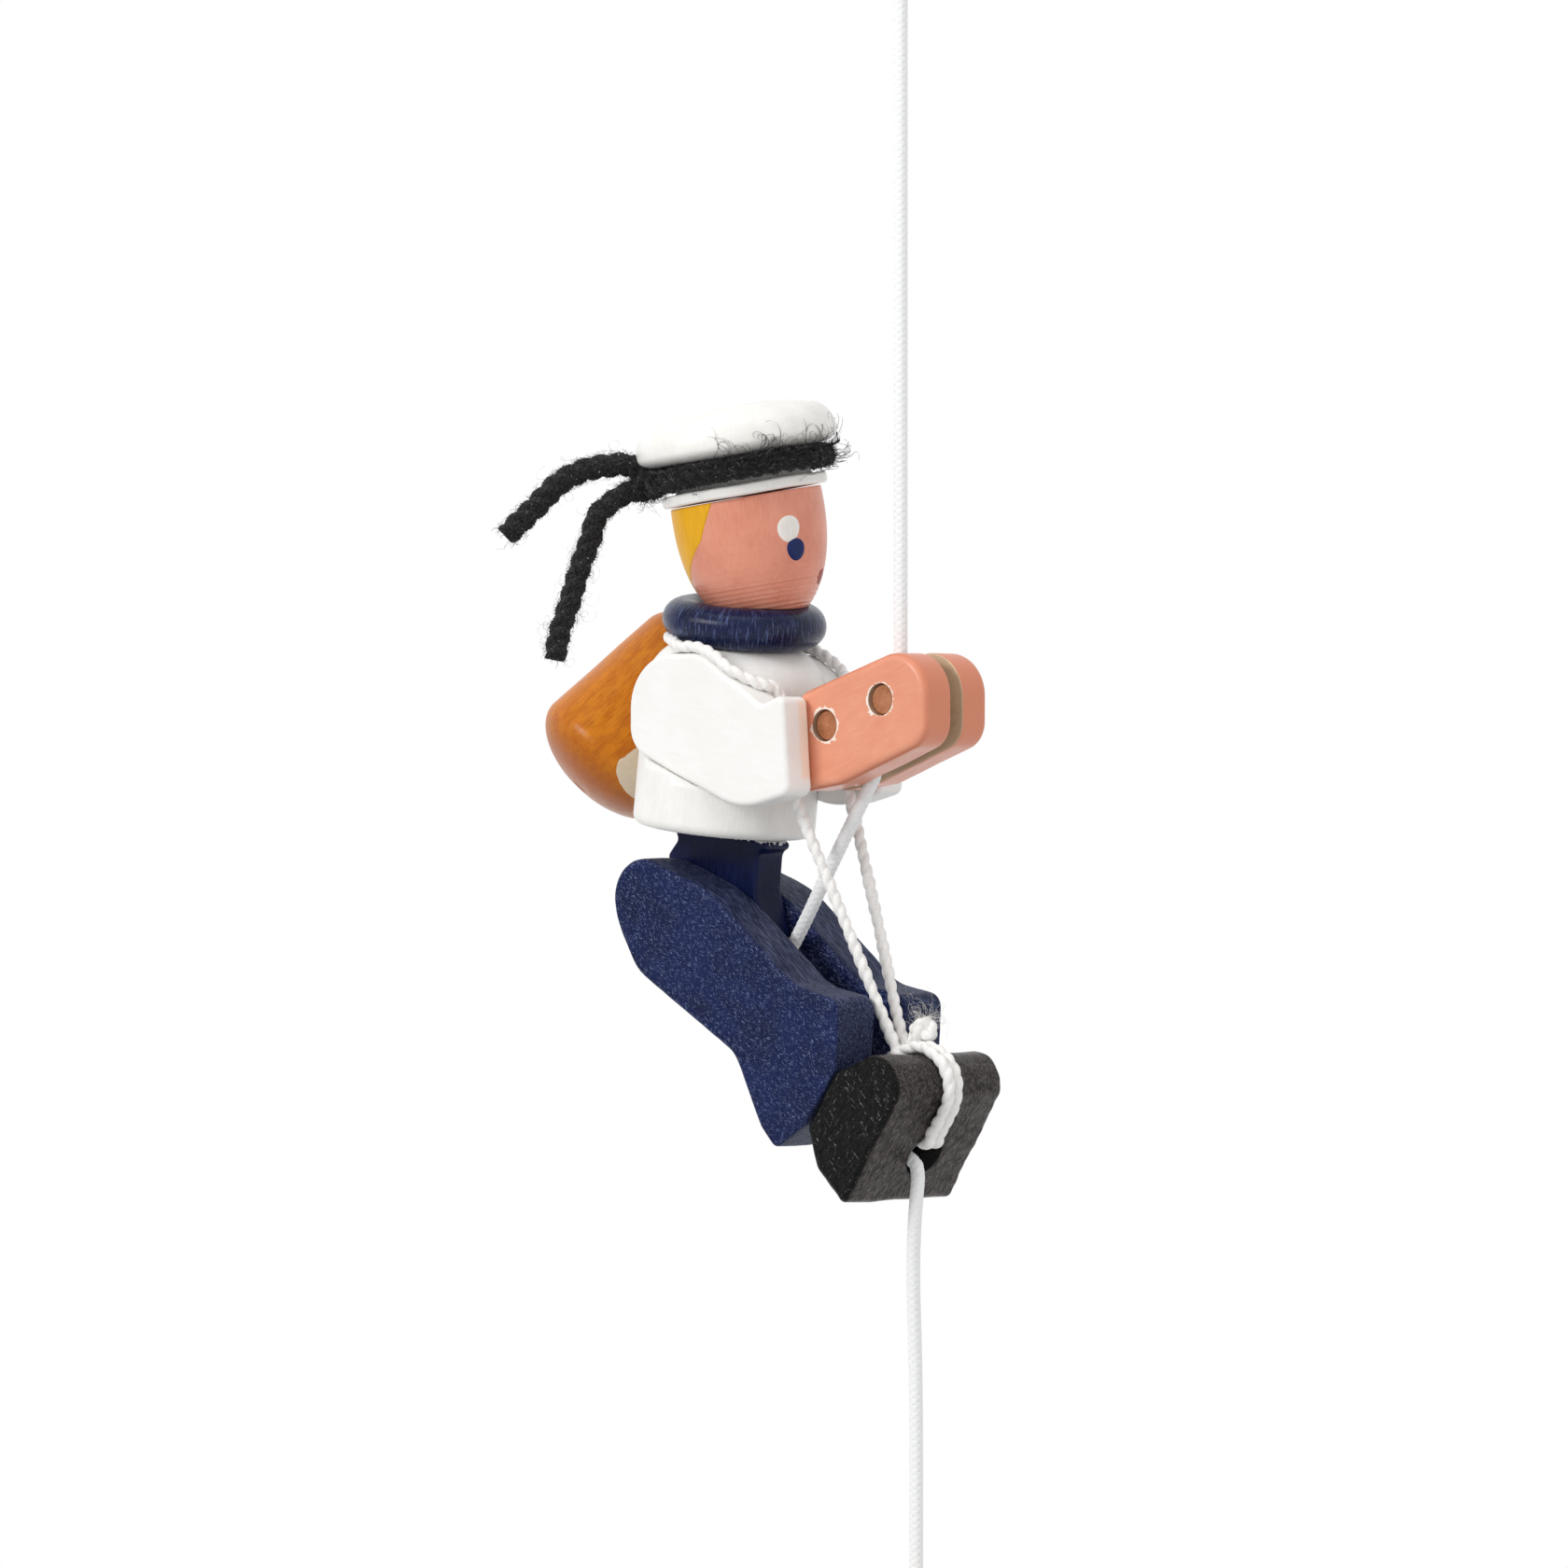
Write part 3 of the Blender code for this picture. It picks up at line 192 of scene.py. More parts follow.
# Tube: a ring of the given radius (rows, columns) stands square to each point of the route
def tubeGrid(route, radius):
    angle = allRound(radius.shape[1])[None, :, None]
    _, side, over = routeFrame(route)
    ring = side[:, None] * np.cos(angle) + over[:, None] * np.sin(angle)
    return route[:, None] + ring * radius[:, :, None]


# Points inside a ring's round section are pushed out to its surface, as a seat worn to the ring
def clearOfRing(grid, turn, ring, play=0.05):
    tube = ring["tube"] + play
    local = (grid - ring["centre"]) @ turn
    reach = np.linalg.norm(local[..., :2], axis=-1)
    off = joined(reach - ring["ring"], local[..., 2])
    far = np.linalg.norm(off, axis=-1)
    off *= np.where(far < tube, tube / np.maximum(far, 1e-6), 1.0)[..., None]
    local[..., :2] *= ((ring["ring"] + off[..., 0]) / np.maximum(reach, 1e-6))[..., None]
    local[..., 2] = off[..., 1]
    return local @ turn.T + ring["centre"]


# A round rod from one point to the other, with slightly rounded ends
def rodGrid(start, end, radius, edge=0.15, around=64):
    way = np.subtract(end, start)
    profile = np.concatenate([arc(radius - edge, edge, edge, -90, 0, 5),
                              arc(radius - edge, np.linalg.norm(way) - edge, edge, 0, 90, 5)])
    return turnedGrid(profile, turnTo(way), start, around)


# A rod straight across the toy at (x, z), as far out on either side as its reach
def crossRod(where, reach, radius, edge=cutEdge):
    return rodGrid((where[0], -reach, where[1]), (where[0], reach, where[1]), radius, edge)


# A grid becomes a mesh of quads: columns close round, end rows may get one flat face each,
# points that coincide are joined, and the faces of a closed body are turned outwards.
# The UV map holds metres along the rows and turns round the columns.
def meshFromGrid(name, grid, caps=(True, True)):
    rows, columns = grid.shape[:2]
    row, column = np.arange(rows - 1)[:, None], np.arange(columns)[None]
    here, after = row * columns + column, row * columns + (column + 1) % columns
    quads = joined(here, after, after + columns, here + columns).reshape(-1, 4)
    ends = [list(range(columns))[::-1], list(range((rows - 1) * columns, rows * columns))]
    faces = quads.tolist() + [end for end, wanted in zip(ends, caps) if wanted]
    mesh = bpy.data.meshes.new(name)
    mesh.from_pydata((grid.reshape(-1, 3) * mm).tolist(), [], faces)
    along = runAlong(grid.mean(axis=1)) * mm
    u = joined(along[row], along[row], along[row + 1], along[row + 1])
    v = joined(column, column + 1, column + 1, column) / columns
    uv = np.zeros((len(mesh.loops), 2), np.float32)
    uv[:quads.size] = joined(u, v).reshape(-1, 2)
    mesh.uv_layers.new(name="run").data.foreach_set("uv", uv.ravel())
    mesh.polygons.foreach_set("use_smooth", np.arange(len(faces)) < len(quads))
    shape = bmesh.new()
    shape.from_mesh(mesh)
    bmesh.ops.remove_doubles(shape, verts=shape.verts, dist=1e-6)
    bmesh.ops.dissolve_degenerate(shape, edges=shape.edges, dist=1e-7)
    if shape.calc_volume(signed=True) < 0:
        bmesh.ops.reverse_faces(shape, faces=shape.faces)
    shape.to_mesh(mesh)
    shape.free()
    return mesh


def newObject(name, data):
    made = bpy.data.objects.new(name, data)
    bpy.context.scene.collection.objects.link(made)
    return made


def newPiece(name, mesh, finish):
    mesh.materials.append(finish)
    return newObject(name, mesh)


# Boolean difference with each cutter grid, kept as the piece's own mesh
def carve(piece, cutters):
    finish = piece.data.materials[0]
    tools = [newObject("tool", meshFromGrid("tool", grid)) for grid in cutters]
    for tool in tools:
        cut = piece.modifiers.new("cut", "BOOLEAN")
        cut.operation, cut.solver, cut.object = "DIFFERENCE", "EXACT", tool
    bpy.context.view_layer.update()
    carved = bpy.data.meshes.new_from_object(piece.evaluated_get(bpy.context.evaluated_depsgraph_get()))
    piece.modifiers.clear()
    piece.data = carved
    carved.materials.clear()
    carved.materials.append(finish)
    for tool in tools:
        bpy.data.objects.remove(tool, do_unlink=True)


# A finished piece rides on its body and takes the CAD nodes' place
def placed(piece, finish, body, *nodes):
    if body:
        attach(piece, body)
    if nodes:
        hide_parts(*nodes)
    return piece


def dressed(name, grid, finish, body, *nodes, caps=(True, True), cutters=()):
    piece = newPiece(name, meshFromGrid(name, grid, caps), finish)
    if cutters:
        carve(piece, cutters)
    return placed(piece, finish, body, *nodes)


# Two boards alike, right and left, from the inner to the outer depth, each face with its own edge
def boardPair(name, outline, look, finishes, body, rough=0.05, fine=0.0, cutters=()):
    for side, label, finish in zip((-1, 1), ("Right", "Left"), finishes):
        low, high = sorted(side * depth for depth in look["depths"])
        grid = boardGrid(outline, low, high, *look["edges"][::side], rough, fine)
        dressed(name + label, grid, finish, body, name + "_" + label.lower(), cutters=cutters)


# Materials: nodes are added to the tree on the bench, sizes are in millimetres,
# and colours are 0 to 255 screen values
bench = {}


def addNode(kind, inputs=None, **settings):
    made = bench["tree"].nodes.new("ShaderNode" + kind)
    for key, value in settings.items():
        setattr(made, key, value)
    for key, value in (inputs or {}).items():
        if isinstance(value, bpy.types.NodeSocket):
            bench["tree"].links.new(value, made.inputs[key])
        else:
            made.inputs[key].default_value = value
    return made


# A value led to one of the shader's sockets
def lead(value, socket="Base Color"):
    bench["tree"].links.new(value, bench["shader"].inputs[socket])


def newFinish(name, sockets):
    finish = bpy.data.materials.new(name)
    finish.use_nodes = True
    bench["tree"] = finish.node_tree
    bench["shader"] = finish.node_tree.nodes["Principled BSDF"]
    for socket, value in sockets.items():
        bench["shader"].inputs[socket].default_value = value
    return finish


# A painter's colour as the shader's linear values
def paint(red, green, blue):
    share = np.array([red, green, blue]) / 255
    linear = np.where(share <= 0.04045, share / 12.92, ((share + 0.055) / 1.055) ** 2.4)
    return (*linear.tolist(), 1.0)


def mixed(share, *tones):
    first, second = (paint(*tone) if isinstance(tone, tuple) else tone for tone in tones)
    return addNode("Mix", {0: share, 6: first, 7: second}, data_type="RGBA").outputs[2]


def maths(operation, first, second=0.0):
    return addNode("Math", {0: first, 1: second}, operation=operation).outputs[0]


times, plus, larger = (partial(maths, operation) for operation in ("MULTIPLY", "ADD", "MAXIMUM"))


def vectors(operation, *parts):
    made = addNode("VectorMath", dict(enumerate(parts)), operation=operation)
    return made.outputs["Value" if operation in ("LENGTH", "DOT_PRODUCT") else "Vector"]


# A value eased from one level to the other, and the same for lengths
def eased(value, fromLow, fromHigh, low=0.0, high=1.0):
    return addNode("MapRange", {"Value": value, "From Min": fromLow, "From Max": fromHigh, "To Min": low,
                                "To Max": high}, interpolation_type="SMOOTHSTEP").outputs[0]


def easedLength(value, first, last, high=1.0):
    return eased(value, first * mm, last * mm, 0.0, high)


def noise(place, scale, detail=4.0, roughness=0.5, turn=(0, 0, 0)):
    sized = addNode("Mapping", {"Vector": place, "Rotation": tuple(math.radians(t) for t in turn), "Scale": scale},
                    vector_type="TEXTURE").outputs[0]
    return addNode("TexNoise", {"Vector": sized, "Scale": 1.0, "Detail": detail, "Roughness": roughness}).outputs["Fac"]


def objectPlace():
    return addNode("TexCoord").outputs["Object"]


# Noise with grains of this size, drawn out along a third way after a turn in degrees
def grain(size, stretch=1.0, turn=(0, 0, 0), detail=4.0):
    return noise(objectPlace(), (size * mm, size * mm, size * mm * stretch), detail, 0.6, turn)


# Noise on the piece's own UV map: a step along its run, and a part of a turn round it
def runNoise(step, part, roughness=0.5):
    return noise(addNode("UVMap", uv_map="run").outputs[0], (step * mm, part, 1.0), 4.0, roughness)


# A length that wavers by noise about nought
def ragged(size, amount, detail=5.0, middle=0.5):
    return times(maths("SUBTRACT", grain(size, detail=detail), middle), amount * mm)


def bumped(height, distance, under=None):
    inputs = {"Height": height, "Distance": distance * mm, "Strength": 1.0}
    if under is not None:
        inputs["Normal"] = under
    normal = addNode("Bump", inputs).outputs[0]
    lead(normal, "Normal")
    return normal


def offsetFrom(point):
    return vectors("SUBTRACT", objectPlace(), tuple(np.asarray(point) * mm))


# Distance from an axis through a point along a way of length 1: the length of the cross product
def fromAxis(point, way):
    return vectors("LENGTH", vectors("CROSS_PRODUCT", offsetFrom(point), tuple(way)))


# Height of a point above another along a way
def heightAlong(point, way):
    return vectors("DOT_PRODUCT", offsetFrom(point), tuple(way))


# Distance from the toy's middle plane
def depthAcross():
    return maths("ABSOLUTE", addNode("SeparateXYZ", {0: objectPlace()}).outputs[1])


# A depth that no point has, for a board whose inner face is not wanted
noInnerFace = -9.0


# Share of a board's two flat faces: 1 where the depth is near the outer or the inner face
def onFaces(inner, outer):
    depth = depthAcross()
    return larger(easedLength(depth, outer - 0.75, outer - 0.3), easedLength(depth, inner + 0.6, inner + 0.2))


# Painted wood: colour worn lighter and darker by grain, fine specks, and grain and brush marks in relief
def paintedWood(name, look):
    finish = newFinish(name, {"Specular IOR Level": look["gloss"], "Coat Weight": look["coat"],
                                    "Coat Roughness": 0.22})
    turn, rough = look["turn"], look["rough"]
    fibre = grain(look["fibre"], look["stretch"], turn, 5.0)
    cloud = grain(look["cloud"], 1.5, turn, 3.0)
    speck = eased(grain(look["speck"], look["speckStretch"], turn, 2.0), *look["speckLevel"])
    colour = mixed(eased(cloud, 0.3, 0.7), look["dark"], look["colour"])
    colour = mixed(eased(fibre, 0.42, 0.68, high=look["fibreShare"]), colour, look["fibreColour"])
    colour = mixed(times(speck, look["speckShare"]), colour, look["speckColour"])
    lead(eased(fibre, 0.3, 0.7, rough - 0.08, rough + 0.1), "Roughness")
    under = bumped(fibre, look["fibreRelief"])
    under = bumped(cloud, look["cloudRelief"], under)
    bumped(speck, look["speckRelief"], under)
    lead(colour)
    return finish, colour


basePaint = {
    "gloss": 0.35, "coat": 0.0, "fibre": 0.22, "stretch": 14.0, "cloud": 5.0, "speck": 0.25, "speckStretch": 3.0,
    "speckLevel": (0.66, 0.74), "fibreShare": 0.35, "speckShare": 0.3, "rough": 0.42, "fibreRelief": 0.03,
    "cloudRelief": 0.12, "speckRelief": 0.01,
}


def paintLook(colour, dark, fibreColour, speckColour, turn, **changes):
    return {**basePaint, "colour": colour, "dark": dark, "fibreColour": fibreColour, "speckColour": speckColour,
            "turn": turn, **changes}


headGrain = (7, -6, 0)
torsoLook = paintLook(
    (250, 249, 246), (244, 243, 239), (233, 231, 226), (212, 208, 200), (0, 7, 0), coat=0.08, speckShare=0.12,
    fibreRelief=0.05, rough=0.45)
armLook = paintLook(
    (250, 249, 247), (246, 245, 242), (240, 238, 234), (220, 216, 209), (0, 105, 0), speckShare=0.08,
    fibreRelief=0.015, cloudRelief=0.06, gloss=0.15)
capLook = paintLook(
    (249, 248, 245), (241, 239, 234), (231, 228, 221), (90, 85, 80), headGrain, stretch=5.0, speckLevel=(0.79, 0.83),
    speckShare=0.25, coat=0.2, fibreRelief=0.045)
# The legs' narrow tones are painted light on the narrow sides
legLook = paintLook(
    (15, 28, 73), (9, 18, 52), (30, 42, 90), (90, 104, 150), (0, 128, 0), fibre=0.3, stretch=7.0, speck=0.19,
    speckStretch=4.0, speckLevel=(0.6, 0.7), speckShare=0.2, fibreShare=0.4, rough=0.46, gloss=0.09, fibreRelief=0.08,
    speckRelief=0.04, dash=(150, 164, 206), dashShare=0.62, dashTurns=(104, 152),
    narrow=((20, 27, 56), (84, 93, 126)))
hipLook = paintLook(
    (15, 24, 62), (9, 16, 44), (26, 37, 82), (78, 90, 128), (0, 7, 0), rough=0.3, gloss=0.1, white=(238, 237, 235))
# The collar's line tone is a painted streak sheen along its brush marks
collarLook = paintLook(
    (14, 23, 60), (9, 15, 40), (46, 62, 112), (140, 150, 185), (0, 8, 0), fibre=0.2, stretch=9.0, speck=0.16,
    speckStretch=6.0, speckLevel=(0.6, 0.7), speckShare=0.15, fibreShare=0.2, rough=0.18, gloss=0.18,
    line=(98, 114, 164), lineShare=0.7)
# Foot tones: the colour, dark and fibre tones are a lighter brownish grey on the narrow faces, a painted reflection;
# the face tones are the near black ends; the glints are painted highlights; the last tone is a painted black shadow for
# the hole
footLook = paintLook(
    (58, 52, 50), (24, 21, 20), (112, 105, 102), (128, 122, 119), (0, 57, 0), fibre=0.5, stretch=3.0, fibreShare=0.6,
    speck=0.2, speckStretch=1.6, speckLevel=(0.64, 0.72), rough=0.2, gloss=0.09, fibreRelief=0.25, cloud=1.4,
    cloudRelief=0.4, speckRelief=0.05, face=((1, 1, 1), (16, 15, 15)), glint=(190, 188, 186),
    glints=((135, 0.75), (30, 0.4)), inside=(3, 3, 3))
# The skin's light line tone is a painted highlight on the lathe lines
skinLook = paintLook(
    (231, 151, 125), (219, 137, 112), (238, 170, 146), (250, 214, 198), headGrain, fibre=0.2, stretch=12.0,
    speckShare=0.2, rough=0.34, coat=0.15, gloss=0.3, fibreRelief=0.05, lineLight=(248, 196, 174),
    lineDark=(168, 92, 70))
# Hand tones: the narrow tone is painted shade on the narrow sides, and the wall tone is painted shade inside the holes
handLook = paintLook(
    (233, 156, 125), (226, 146, 116), (238, 168, 140), (243, 190, 168), (0, 72, 0), speckShare=0.1, rough=0.36,
    coat=0.12, gloss=0.3, fibreRelief=0.012, cloudRelief=0.06, narrow=(217, 134, 103), wall=(139, 101, 74),
    chip=(247, 233, 220), dirt=((190, 158, 128), (222, 196, 166)))


# Bare wood of the dowels and the bead: darker fibres drawn out along the rod, and open pores
def bareWood(name, look):
    finish = newFinish(name, {"Specular IOR Level": 0.25})
    fibre = grain(look["fibre"], look["stretch"], look["turn"], 6.0)
    cloud = grain(1.6, 3.0, look["turn"], 3.0)
    colour = mixed(eased(fibre, 0.32, 0.7), look["dark"], look["colour"])
    lead(mixed(eased(cloud, 0.35, 0.75, high=0.5), colour, look["pale"]))
    lead(eased(fibre, 0.3, 0.7, 0.5, 0.75), "Roughness")
    bumped(fibre, 0.06)
    return finish


acrossGrain = (90, 0, 0)
dowelWood = bareWood("dowelWood", {
    "fibre": 0.18, "stretch": 6.0, "turn": acrossGrain, "colour": (192, 124, 84), "dark": (140, 84, 52),
    "pale": (212, 150, 112)})
beadWood = bareWood("beadWood", {
    "fibre": 0.3, "stretch": 9.0, "turn": (0, 0, 0), "colour": (214, 170, 118), "dark": (182, 132, 84),
    "pale": (228, 190, 142)})
print("stage: paints and woods made")

# Torso, turned, with pockets for the arms and a seat for the collar
arms = {
    "shoulder": (-35.3, -128.42), "depths": (7.45, 13.25), "edges": (0.85, 0.85), "gap": 0.14, "pocket": 30.0,
    "corners": [
        (-8.5, 8.5, 8.5), (6.4, 8.5, 8.0), (18.7, 0.7, 1.6), (23.3, 2.5, 1.3), (24.4, -12.7, 1.6),
        (14.4, -15.3, 14.0), (-8.5, -5.9, 5.0)]}
torso = {"centre": np.array([-34.6, 0.0, -133.0]), "lean": 7.0, "radius": 14.0, "above": 15.2, "below": 14.0,
         "shoulder": 8.0, "foot": 1.5}
collar = {"centre": np.array([-31.9, 0.0, -115.1]), "leans": (8.2, 3.2), "ring": 9.35, "tube": 3.25}
torsoTurn = turnAbout("Y", torso["lean"])
collarTurn = leaning(*collar["leans"])


def cornersAt(where, corners):
    return [(where[0] + x, where[1] + z, radius) for x, z, radius in corners]


armOutline = roundedOutline(cornersAt(arms["shoulder"], arms["corners"]))
pocketOutline = armOutline + arms["gap"] * outwards(armOutline)
torsoProfile = np.concatenate([
    joined(np.linspace(0, 5.8, 8), torso["above"]),
    arc(torso["radius"] - torso["shoulder"], torso["above"] - torso["shoulder"], torso["shoulder"], 90, 0, 28),
    joined(torso["radius"], np.linspace(7.0, -12.3, 12)),
    arc(torso["radius"] - torso["foot"], torso["foot"] - torso["below"], torso["foot"], 0, -90, 10),
    [(6.0, -torso["below"]), (0.0, -torso["below"])]])
torsoGrid = clearOfRing(turnedGrid(torsoProfile, torsoTurn, torso["centre"], 160), collarTurn, collar)
pocketDepths = (arms["depths"][0] - arms["gap"], arms["pocket"])
pockets = [boardGrid(pocketOutline, *sorted(side * depth for depth in pocketDepths), cutEdge, cutEdge, 0.0)
           for side in (-1, 1)]
dressed("torsoBarrel", torsoGrid, paintedWood("torsoPaint", torsoLook)[0], "figure", "torso",
        cutters=pockets)

# Arms: white boards, with a peach smear of hand paint inside the rim of each cuff's end
smear = {"middle": (-11.4, 8.5, -132.95), "half": (1.0, 0.95, 5.5), "soft": (0.8, -0.2), "colour": (254, 234, 217)}


# The smear fills a box: the largest of the three distances beyond its sides, made ragged, is eased to a share
def armFinish(side):
    finish, colour = paintedWood("armPaint" + ("Right" if side < 0 else "Left"), armLook)
    apart = vectors("ABSOLUTE", offsetFrom(np.array(smear["middle"]) * (1, side, 1)))
    beyond = addNode("SeparateXYZ", {0: vectors("SUBTRACT", apart, tuple(np.array(smear["half"]) * mm))}).outputs
    most = larger(larger(beyond[0], beyond[1]), beyond[2])
    lead(mixed(easedLength(plus(most, ragged(1.2, 0.8, 4.0)), *smear["soft"]), colour, smear["colour"]))
    return finish


boardPair("arm", armOutline, arms, [armFinish(-1), armFinish(1)], "figure")
print("stage: torso and arms made")

# Hands: two halves with soft outer edges and crisp slot edges, on two dowels with chipped paint round them
hands = {
    "pin": (2.3, -126.9), "rear": (-8.9, -130.8), "depths": (1.35, 7.15), "edges": (0.28, 1.2), "dowel": 2.25,
    "hole": 2.4, "sunk": 0.6,
    "corners": [(-16.8, 0.8, 1.9), (8.9, 9.4, 6.4), (8.9, -6.3, 4.2), (-8.3, -12.8, 6.0), (-16.8, -14.1, 1.9)]}
handPins = (hands["pin"], hands["rear"])


# Hand paint: deeper on the narrow sides as painted shade, chipped round the holes, brown inside them as painted shade,
# and dirty in the slot
def handFinish():
    finish, colour = paintedWood("handPaint", handLook)
    slot, outer = hands["depths"]
    hole = hands["hole"]
    torn = ragged(1.3, 2.6, middle=0.56)
    fars = [fromAxis((x, 0, z), wayAcross) for x, z in handPins]
    # painted shade: a deeper pink on the narrow sides
    colour = mixed(onFaces(noInnerFace, outer + 0.2), handLook["narrow"], colour)
    chips = larger(*(easedLength(plus(far, torn), hole + 0.2, hole + 0.1) for far in fars))
    colour = mixed(chips, colour, handLook["chip"])
    # painted shade: brown on the walls inside the holes
    for far in fars:
        colour = mixed(easedLength(far, hole + 0.07, hole + 0.01), colour, handLook["wall"])
    dirt = mixed(grain(0.9, 4.0, handLook["turn"]), *handLook["dirt"])
    lead(mixed(easedLength(depthAcross(), slot + 0.16, slot + 0.04), colour, dirt))
    return finish


boardPair(
    "hand", roundedOutline(cornersAt(hands["pin"], hands["corners"]), 0.25), hands, [handFinish()] * 2, "figure",
    cutters=[crossRod(where, cutReach, hands["hole"]) for where in handPins])
handReach = hands["depths"][1] - hands["sunk"]
for name, where, body, node in (("handDowelFront", hands["pin"], "grip", "hand_pin_front"),
                                ("handDowelRear", hands["rear"], "figure", "hand_pin_rear")):
    dressed(name, crossRod(where, handReach, hands["dowel"], 0.2), dowelWood, body, node)
print("stage: hands made")


# Collar paint: fine light lines, partly brush marks and partly painted streak sheen, run over the ring's round, by the
# turn round its axis
def collarFinish():
    finish, colour = paintedWood("collarPaint", collarLook)
    lines = runNoise(2.5, 0.0035, 0.65)
    # painted sheen: light streak lines over the brush marks
    lead(mixed(eased(lines, 0.52, 0.68, high=collarLook["lineShare"]), colour, collarLook["line"]))
    bumped(lines, 0.06)
    return finish


# Collar ring: a turned ring with slow unevenness, and the neck's dowel through it
ringGrid = turnedGrid(arc(collar["ring"], 0.0, collar["tube"], 90, -270, 73), collarTurn, collar["centre"], 192)
ringGrid += uneven(ringGrid, 7.0, 0.07)[..., None] * (0.4, 0.4, 0.8)
dressed("collarRing", ringGrid, collarFinish(), "figure", "collar_ring", caps=(False, False))
dressed("neckDowel", rodGrid((-33.32, 0.56, -124.98), (-30.76, -0.45, -107.19), 3.0), dowelWood, "figure", "neck_dowel")

# Head: an egg whose radius falls off by a power curve from the brow, with faint lathe rings below
head = {"top": np.array([-30.5, -1.2, -96.1]), "leans": (-6.5, 7.1), "radius": 11.65, "height": 20.7, "brow": 2.5,
        "power": 2.15, "rings": 0.05, "ringStep": 0.7}
headTurn = leaning(*head["leans"])


def headRadius(drop):
    share = np.abs(drop - head["brow"]) / (head["height"] - head["brow"])
    return head["radius"] * np.maximum(0.0, 1.0 - share ** head["power"]) ** (1 / head["power"])


def headPoint(azimuth, drop, lift):
    radius = headRadius(drop) + lift
    return joined(radius * np.cos(azimuth), radius * np.sin(azimuth), -drop) @ headTurn.T + head["top"]


# Skin paint: lathe lines, light and dark by height alone, come in over the lower third; the light lines are painted
# highlights
def skinFinish():
    finish, colour = paintedWood("skinPaint", skinLook)
    height = heightAlong(head["top"], headTurn[:, 2])
    lines = addNode("TexNoise", {"W": maths("DIVIDE", height, 0.3 * mm), "Scale": 1.0, "Detail": 4.0},
                    noise_dimensions="1D").outputs["Fac"]
    low = easedLength(height, -10.0, -16.0)
    broken = eased(grain(1.6, 0.25, headGrain, 3.0), 0.4, 0.62)
    # painted highlights: broken light lathe lines in the lower third
    light = times(times(eased(lines, 0.5, 0.72, high=0.55), low), broken)
    dark = times(eased(lines, 0.5, 0.3), plus(times(low, 0.3), 0.06))
    lead(mixed(dark, mixed(light, colour, skinLook["lineLight"]), skinLook["lineDark"]))
    return finish


headDrop = head["height"] * np.sin(np.pi / 2 * np.linspace(0, 1, 110))
ringFade = np.clip((headDrop - 11.0) / 5.0, 0, 1) * (headDrop < 20.0)
headRings = head["rings"] * ringFade * np.sin(2 * np.pi * headDrop / head["ringStep"])
headProfile = np.concatenate([[(0.0, 0.0)], joined(headRadius(headDrop) + headRings, -headDrop)])
headGrid = clearOfRing(turnedGrid(headProfile, headTurn, head["top"], 160), collarTurn, collar)
dressed("headEgg", headGrid, skinFinish(), "figure", "head")


# Glossy paint for the face and hair, with a little streak and wear in it
def facePaint(name, colour, dark, rough, gloss):
    finish = newFinish(name, {"Specular IOR Level": gloss, "Coat Weight": 0.05, "Coat Roughness": 0.2})
    streak = grain(0.5, 6.0, headGrain)
    lead(mixed(eased(streak, 0.3, 0.7), dark, colour))
    lead(eased(streak, 0.3, 0.7, rough, rough + 0.12), "Roughness")
    bumped(streak, 0.02)
    return finish


eyeWhitePaint = facePaint("eyeWhitePaint", (247, 244, 239), (238, 234, 227), 0.4, 0.3)
eyeBluePaint = facePaint("eyeBluePaint", (26, 42, 98), (20, 34, 84), 0.3, 0.14)
mouthPaint = facePaint("mouthPaint", (160, 74, 60), (142, 62, 50), 0.4, 0.2)
hairPaint = facePaint("hairPaint", (238, 178, 24), (228, 165, 18), 0.36, 0.22)

# Dots of paint: rings of an oval on the head, thickest in the middle and let into the wood at the rim.
# Each has its turn round the head in degrees, its drop from the top, its two half sizes and its thickness
dots = {
    "eyeWhiteNear": (-18.5, 5.8, 2.05, 2.05, 0.10, eyeWhitePaint),
    "eyeWhiteFar": (74.5, 5.8, 2.05, 2.05, 0.10, eyeWhitePaint),
    "eyeBlueNear": (-13.5, 9.05, 1.62, 1.75, 0.17, eyeBluePaint),
    "eyeBlueFar": (69.5, 9.05, 1.62, 1.75, 0.17, eyeBluePaint),
    "mouthDot": (28.0, 13.75, 1.35, 1.3, 0.09, mouthPaint),
}
dotShare = np.sin(np.pi / 2 * np.linspace(0, 1, 14))[:, None]
dotTurn = allRound(48)[None]
for name, (turn, drop, width, height, thick, finish) in dots.items():
    reach = dotShare * (1 + 0.03 * np.sin(2 * dotTurn + drop) + 0.02 * np.sin(3 * dotTurn))
    azimuth = math.radians(turn) + width * reach * np.cos(dotTurn) / headRadius(np.array(drop))
    lift = thick * np.sqrt(np.maximum(0.0, 1 - dotShare ** 6)) - 0.06 * dotShare ** 6
    grid = headPoint(azimuth, drop - height * reach * np.sin(dotTurn), lift)
    dressed(name, grid, finish, "figure", caps=(False, True))

# Hair: a painted wedge at the back, as wide as the cap above and running to a point below
hair = {"half": [(0.0, 77.5), (5.5, 61.5), (10.5, 30.0), (14.5, 0.0)], "thick": 0.07, "behind": 208.0}
hairDrop = np.linspace(0.05, 14.5, 70)[:, None]
hairHalf = np.interp(hairDrop, *np.array(hair["half"]).T)
hairAcross = np.linspace(-1, 1, 73)[None]
hairAngle = np.radians(hair["behind"] + hairHalf * hairAcross)
hairLift = hair["thick"] * np.minimum(1, (1 - np.abs(hairAcross)) * hairHalf / 2.0)
hairTop, hairBack = (headPoint(hairAngle, hairDrop, lift) for lift in (hairLift, -0.05))
dressed("hairWedge", np.concatenate([hairTop, hairBack[:, ::-1]], axis=1), hairPaint, "figure")
print("stage: head and face made")

